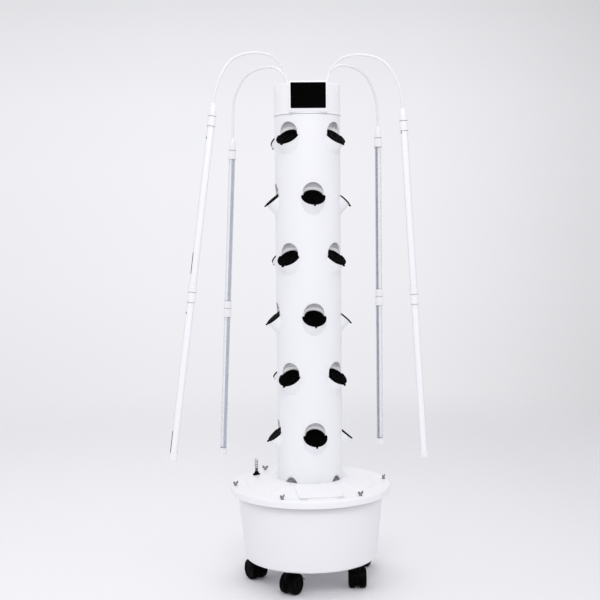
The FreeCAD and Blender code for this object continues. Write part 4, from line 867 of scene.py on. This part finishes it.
pump_plastic = moulded("pump_plastic", (0.004, 0.004, 0.004), (0.007, 0.007, 0.007), 0.45, 900, 0.00006,
                       20, 0.2)
riser_plastic = moulded("riser_plastic", (0.80, 0.80, 0.80), (0.82, 0.82, 0.82), 0.4, 900, 0.00003)
bevelled("pump", 0.8, pump_plastic)
bevelled("riser_pipe", 0.3, riser_plastic)
spray = merged_copy("spray_plate", "spray_disc")
notch = [block((-36, -104, 1390), (36, -73, 1409), 1)]
cut_away(spray, riser_plastic, [sheet for n in range(4) for sheet in placed(notch, turned(45 + 90 * n))])
crisp(spray.data, 30)
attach(spray, "base")
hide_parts("spray_plate")


# Cap: a white round cover that plugs into the column, with a boxed front that frames the
# control screen. It sits turned a little to the left.

CAP_TURN = turned(-7.3)
CAP_R = 101
CAP_TOP = 1521
COLUMN_TOP = 1428.3
BOX_HALF = 57
BOX_OUT = 106
BOX_TOP = 1524
BOX_LOW = 1433
SOCKET_X = 58
SOCKET_Y = 28
SIDE_ROWS = 44
cap_plastic = moulded("cap_plastic", (0.915, 0.915, 0.935), (0.922, 0.922, 0.94), 0.32, 750, 0.00003, 4)

cap_path = rounded([
    (0, CAP_TOP), (CAP_R - 8, CAP_TOP), (CAP_R, CAP_TOP, 3), (CAP_R, COLUMN_TOP + 5.4, 0.8),
    (102.5, COLUMN_TOP + 4.6, 0.6), (102.5, COLUMN_TOP + 1.3, 0.5), (96.2, COLUMN_TOP + 1.3, 0.4),
    (96.2, 1411, 0.8), (93.2, 1411, 0.8), (93.2, COLUMN_TOP + 7, 2), (98, COLUMN_TOP + 12, 2),
    (98, CAP_TOP - 3, 2), (0, CAP_TOP - 3)], steps=6)
notch_angles = (60.5, 119.5, -60.5, -119.5)
side_rows = np.linspace(CAP_TOP - 4, COLUMN_TOP + 8, SIDE_ROWS)
top = next(i for i, (r, z) in enumerate(cap_path) if z < CAP_TOP - 3.5 and r > CAP_R - 1)
cap_side = np.stack([np.full(SIDE_ROWS, float(CAP_R)), side_rows], -1)
cap_path = np.concatenate([cap_path[:top], cap_side, cap_path[top:]])
turns = np.unique(np.round(np.concatenate(
    [np.arange(0, 360, 2.5)] + [(angle - 90 + np.arange(-2.4, 2.5, 0.3)) % 360
                                for angle in notch_angles]), 3))
a = np.radians(turns)
radius, height = cap_path.T[:, :, None]
across = np.min([np.abs((turns + 90 - angle + 180) % 360 - 180) for angle in notch_angles], 0)
across = across * np.pi / 180 * CAP_R
sunk = smooth((3.1 - across) / 1.1) * smooth((height - (CAP_TOP - 25)) / 2) * (radius > CAP_R - 3.2)
radius = radius - 1.9 * sunk
cap_sheet = (np.stack([radius * np.cos(a), radius * np.sin(a), height + 0 * a], -1), False, True)

box_steps = [  # half width, lowest and highest edge, corner, distance to the front
    (BOX_HALF, 1436, CAP_TOP - 3.4, 2, 78), (BOX_HALF, 1436, CAP_TOP - 3.4, 2, 88.5),
    (BOX_HALF, 1433.2, BOX_TOP - 0.8, 2, 88.6), (BOX_HALF, BOX_LOW, BOX_TOP, 3, 90),
    (BOX_HALF, BOX_LOW, BOX_TOP, 3, 100.5), (BOX_HALF, 1436.4, BOX_TOP, 3, 103),
    (BOX_HALF - 0.3, 1439.8, BOX_TOP - 0.3, 3, 104.9), (BOX_HALF - 0.9, 1442, BOX_TOP - 0.9, 3, 105.7),
    (BOX_HALF - 1.8, 1442.9, BOX_TOP - 1.8, 3, BOX_OUT), (52.5, 1443.3, 1519.5, 3.1, BOX_OUT),
    (52.35, 1443.45, 1519.35, 3.1, BOX_OUT - 0.3), (52.35, 1443.45, 1519.35, 3.1, BOX_OUT - 3.5)]
box_rows = [upright_row(rectangle(half, (high - low) / 2, corner, 6, (0, (high + low) / 2)), out)
            for half, low, high, corner, out in box_steps]
bosses = [hoop([(5.2, 1490), (9, 1490, 0.5), (9, BOX_TOP, 1), (5.2, BOX_TOP, 0.6)], 36,
               (sx * SOCKET_X, sy * SOCKET_Y)) for sx in (-1, 1) for sy in (-1, 1)]
cap = skin("cap_cover", cap_plastic, *placed([cap_sheet, capped(box_rows), *bosses], CAP_TURN))
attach(cap, "head")
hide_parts("top_cap")


# Control screen: a flat black glass panel let into the box, flush with its bezel.

SCREEN_W = 104.4
SCREEN_H = 75.6
SCREEN_LOW = 1443.6
screen_steps = ((2.0, 3.3), (0.0, 3.3), (0.0, 0.5), (0.15, 0.15), (0.5, 0.0), (3, 0.0))  # inset, depth
screen_rows = [upright_row(rectangle(SCREEN_W / 2 - inset, SCREEN_H / 2 - inset, 3, 6,
                                     (0, SCREEN_LOW + SCREEN_H / 2)), BOX_OUT - depth)
               for inset, depth in screen_steps]
glass = Finish("screen_glass")
glass.give(Base_Color=glass.shades(glass.cloud(14), (0.3, (0.0012, 0.0012, 0.0014)),
                                   (0.7, (0.0020, 0.0020, 0.0022))),
           Roughness=glass.between(glass.cloud(60), 0.10, 0.18), Specular_IOR_Level=0.008)
screen = skin("screen_glass", glass, *placed([capped(screen_rows)], CAP_TURN))
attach(screen, "head")
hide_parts("control_screen")


# Arms: four bent pipes painted white. Each stands in a socket of the cap, arches up and out,
# and comes down into the boot of its light; it swivels in the socket.

ARCH = ((0, 0.395), (0.163, 0.9), (0.302, 1.0), (0.492, 1.0), (0.6875, 0.84),
        (0.7976, 0.609), (0.9058, 0.16), (0.9677, -0.31))
ARCH_ROOT = 1515
ARM_R = 4
# The sides of each arm's socket, its azimuth and rise, how far out and how high its boot is, and the lean
# and facing of its light.
ARMS = ((-1, -1, -65.6, 94, 255.9, 1453, 8.36, 56), (-1, 1, -140.5, 76, 240.7, 1381, 3.54, 276),
        (1, 1, 125.1, 80, 238.8, 1416.5, 0.19, -114), (1, -1, 59.9, 89, 237.8, 1441, 3.52, -69))
arm_paint = moulded("arm_paint", (0.84, 0.84, 0.86), (0.85, 0.85, 0.87), 0.5, 900, 0.00001, 6, 0.2)


def soft_run(corners):
    """A run of parabolas that starts and ends at the end corners and passes the middle of every other run
    along it, so that each corner bends it without a kink."""
    corners = np.array(corners, float)
    starts = np.concatenate([corners[:1], (corners[1:-2] + corners[2:-1]) / 2])
    ends = np.concatenate([(corners[1:-2] + corners[2:-1]) / 2, corners[-1:]])
    t = np.linspace(0, 1, 10, endpoint=False)[None, :, None]
    run = ((1 - t) ** 2 * starts[:, None] + 2 * t * (1 - t) * corners[1:-1][:, None]
           + t ** 2 * ends[:, None])
    return np.concatenate([run.reshape(-1, 2), corners[-1:]])


def pipe_along(path, radius):
    """A closed pipe round a path in the plane of X and Z: a circle stands square to the path at each
    point."""
    along = np.gradient(path, axis=0)
    along /= np.hypot(*along.T)[:, None]
    a = np.linspace(0, 2 * np.pi, 24, endpoint=False)
    across = np.stack([-along[:, 1], along[:, 0]], -1)
    x = path[:, :1] + radius * np.cos(a) * across[:, :1]
    z = path[:, 1:] + radius * np.cos(a) * across[:, 1:]
    return capped(np.stack([x, radius * np.sin(a) + 0 * x, z], -1))


hangers = []
for k, (sx, sy, azimuth, rise, boot_s, boot_z, lean, face) in enumerate(ARMS):
    out = np.array([np.sin(np.radians(lean)), -np.cos(np.radians(lean))])
    boot = np.array([boot_s, boot_z])
    corners = [(0, 1494.3)] + [(boot_s / 0.985 * f, ARCH_ROOT + rise * g) for f, g in ARCH]
    corners += [boot - out * 12, boot + out * 16]
    where = CAP_TURN @ Vector((sx * SOCKET_X, sy * SOCKET_Y, 0))
    stand = shifted(*where) @ turned(azimuth - 90)
    sleeve = lathe(rounded([(0, 1494.3), (5, 1494.3, 0.3), (5, 1531, 0.7), (0, 1531)]), 28)
    arm = skin("arm_%d_pipe" % (k + 1), arm_paint,
               *placed([pipe_along(soft_run(corners), ARM_R), sleeve], stand))
    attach(arm, "arm_%d_with_light" % (k + 1))
    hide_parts("arm_%d" % (k + 1))
    hangers.append((stand @ shifted(boot_s, 0, boot_z) @ turned(-lean, "Y"), face))


# Lights: each hangs from its arm in two tubes. A white boot and ring hold the upper tube, a
# sleeve joins the lower one, and a cap closes it; a strip of diodes runs down inside.

RING_R = 12.5
CAP_END_R = 12
BAR_R = 10.5
BAR_WALL = 1.4
JOINER = (527, 579)
BARS = ((48, 551), (555, 1034))
LIGHT_END = 1038
fitting_plastic = moulded("fitting_plastic", (0.90, 0.90, 0.92), (0.91, 0.91, 0.925), 0.34, 900, 0.00003,
                          10)
fitting_shape = [
    hoop([(4.1, 0), (5.3, 0, 0.8), (8.2, -9, 14), (10.2, -20, 30), (11.5, -37.6, 0.8), (10, -38, 0.2),
          (10, -39.2, 0.2), (RING_R, -39.6, 0.5), (RING_R, -66.6, 0.5), (11.2, -67, 0.2),
          (11.2, -68.2, 0.2), (11, -68.2), (11, -50), (4.1, -50)], 48),
    hoop([(11, -JOINER[0]), (11.8, -JOINER[0], 0.3), (RING_R, -JOINER[0] - 0.8, 0.5),
          (RING_R, -549.2, 0.4), (11.3, -549.5, 0.1), (11.3, -550.9, 0.1), (RING_R, -551.2, 0.4),
          (RING_R, -JOINER[1] + 0.8, 0.5), (11.8, -JOINER[1], 0.3), (11, -JOINER[1])], 48),
    hoop([(11, -1016), (11.5, -1016, 0.3), (CAP_END_R, -1016.8, 0.5), (CAP_END_R, -1035.5, 2),
          (9, -LIGHT_END, 2), (0, -LIGHT_END), (0, -1034.2), (11, -1034.2)], 48)]
strip_arc = np.radians(np.linspace(180 + 31.4, 360 - 31.4, 17))
strip_section = np.concatenate([np.stack([8.8 * np.cos(strip_arc), 8.8 * np.sin(strip_arc)], -1),
                                np.stack([np.linspace(7.4, -7.4, 7)[1:-1], np.full(5, -4.6)], -1)])
# The covers' colour darkens towards the edges seen side-on: a painted shade. They are drawn near opaque on
# the front lamps (negative Y) and almost clear on the back ones, so the front covers show white: painted
# light on covers that are alike. Towards the edges seen side-on every cover also grows more opaque.
lamp_cover = Finish("lamp_cover")
facing = lamp_cover.add("ShaderNodeLayerWeight", {"Blend": 0.5}).outputs["Facing"]
depth = lamp_cover.add("ShaderNodeSeparateXYZ", {0: lamp_cover.spot}).outputs["Y"]
frost_and_painted_light = lamp_cover.combine(lamp_cover.between(depth, 0.97, 0.12, -0.04, 0.04),
                           lamp_cover.between(facing, 0.12, 0.5, 0.2, 0.7), "MAXIMUM")
lamp_cover.give(Base_Color=lamp_cover.shades(facing, (0.3, (0.955, 0.955, 0.98)), (0.7, (0.80, 0.80, 0.85))),
                Roughness=lamp_cover.between(lamp_cover.cloud(60, 1), 0.28, 0.32), Specular_IOR_Level=0.3,
                Alpha=frost_and_painted_light, Normal=lamp_cover.bump(lamp_cover.cloud(700), 0.00001))
# The strips' tone darkens with X plus Y, so the lamp at the back right has the darkest strip and the one at
# the back left a light one: a painted reflection, not a difference in the metal. Soft noise adds a random
# tone.
strip_metal = Finish("strip_metal")
painted_reflection_by_place = strip_metal.add("ShaderNodeVectorMath", {0: strip_metal.spot, 1: (1, 1, 0)}, operation="DOT_PRODUCT")
tone_and_painted_reflection = strip_metal.combine(strip_metal.between(strip_metal.cloud(4), -0.06, 0.06), painted_reflection_by_place.outputs["Value"])
strip_metal.give(Base_Color=strip_metal.shades(tone_and_painted_reflection, (0.12, (0.47, 0.52, 0.62)), (0.36, (0.25, 0.28, 0.37))),
                 Roughness=strip_metal.between(strip_metal.cloud(400), 0.45, 0.6), Specular_IOR_Level=0.2)
diode = Finish("diode_lens")
diode.give(Base_Color=diode.shades(diode.cloud(500), (0.3, (0.75, 0.72, 0.45)), (0.7, (0.82, 0.80, 0.60))),
           Roughness=0.3)
mark_paint = moulded("mark_paint", (0.010, 0.25, 0.13), (0.014, 0.30, 0.16), 0.5, 1500, 0.00002, 60, 0.1)
seal_grey = moulded("seal_grey", (0.42, 0.42, 0.43), (0.46, 0.46, 0.47), 0.5, 1500, 0.00002, 60, 0.1)
# Black bars laid on the covers of the first and fourth lights, each from a top to a low end.
BLACK_COVER_BARS = {0: ((435, 497), (952, 1014)), 3: ((71, 76),)}
SEALS = (38.6, 67.6, 550.2, 579.4)
MARKS = {0: ((99, 105), (607, 613))}
MARK_TURN = 35
DIODE_STEP = 14


def on_cover(half_width, spans):
    """Small flat bars on a light's cover, each from a top to a low end below the boot's top."""
    bars = [block((-half_width, -11.3, -low), (half_width, -10.5, -high), 0.3, 1) for high, low in spans]
    return placed(bars, turned(MARK_TURN))


for k, (hang, face) in enumerate(hangers):
    body = "arm_%d_with_light" % (k + 1)
    name = "light_%d" % (k + 1)
    fittings = skin(name + "_boot_and_caps", fitting_plastic, *placed(fitting_shape, hang))
    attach(fittings, body)
    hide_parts(name + "_fittings")
    faced = hang @ turned(face)
    covers, strips, diodes = [], [], []
    for high, low in BARS:
        covers.append(hoop([(BAR_R - BAR_WALL, -high), (BAR_R, -high, 0.3), (BAR_R, -low, 0.3),
                            (BAR_R - BAR_WALL, -low)], 48))
        strips.append(carried(strip_section, -np.linspace(high + 1, low - 1, 4),
                              lambda points, z: np.column_stack([points, np.full(len(points), z)])))
        diodes += [block((-1.7, -4.7, -z - 1.7), (1.7, -3.7, -z + 1.7), 0.3, 1)
                   for z in np.arange(high + 24, low - 20, DIODE_STEP)]
    seals = [hoop([(10.2, -z - 0.3), (12.4, -z - 0.3, 0.1), (12.4, -z + 0.3, 0.1), (10.2, -z + 0.3)], 48)
             for z in SEALS]
    pieces = (("covers", covers, lamp_cover), ("strips", strips, strip_metal), ("diodes", diodes, diode),
              ("leads", on_cover(1.1, BLACK_COVER_BARS.get(k, ())), rubber), ("seals", seals, seal_grey),
              ("marks", on_cover(1.6, MARKS.get(k, ())), mark_paint))
    for part, sheets, finish in pieces:
        if not sheets:
            continue
        piece = skin("%s_%s" % (name, part), finish, *placed(sheets, faced))
        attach(piece, body)
        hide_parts(name + "_tubes")


# The last step brings the scene up to date.

bpy.context.view_layer.update()
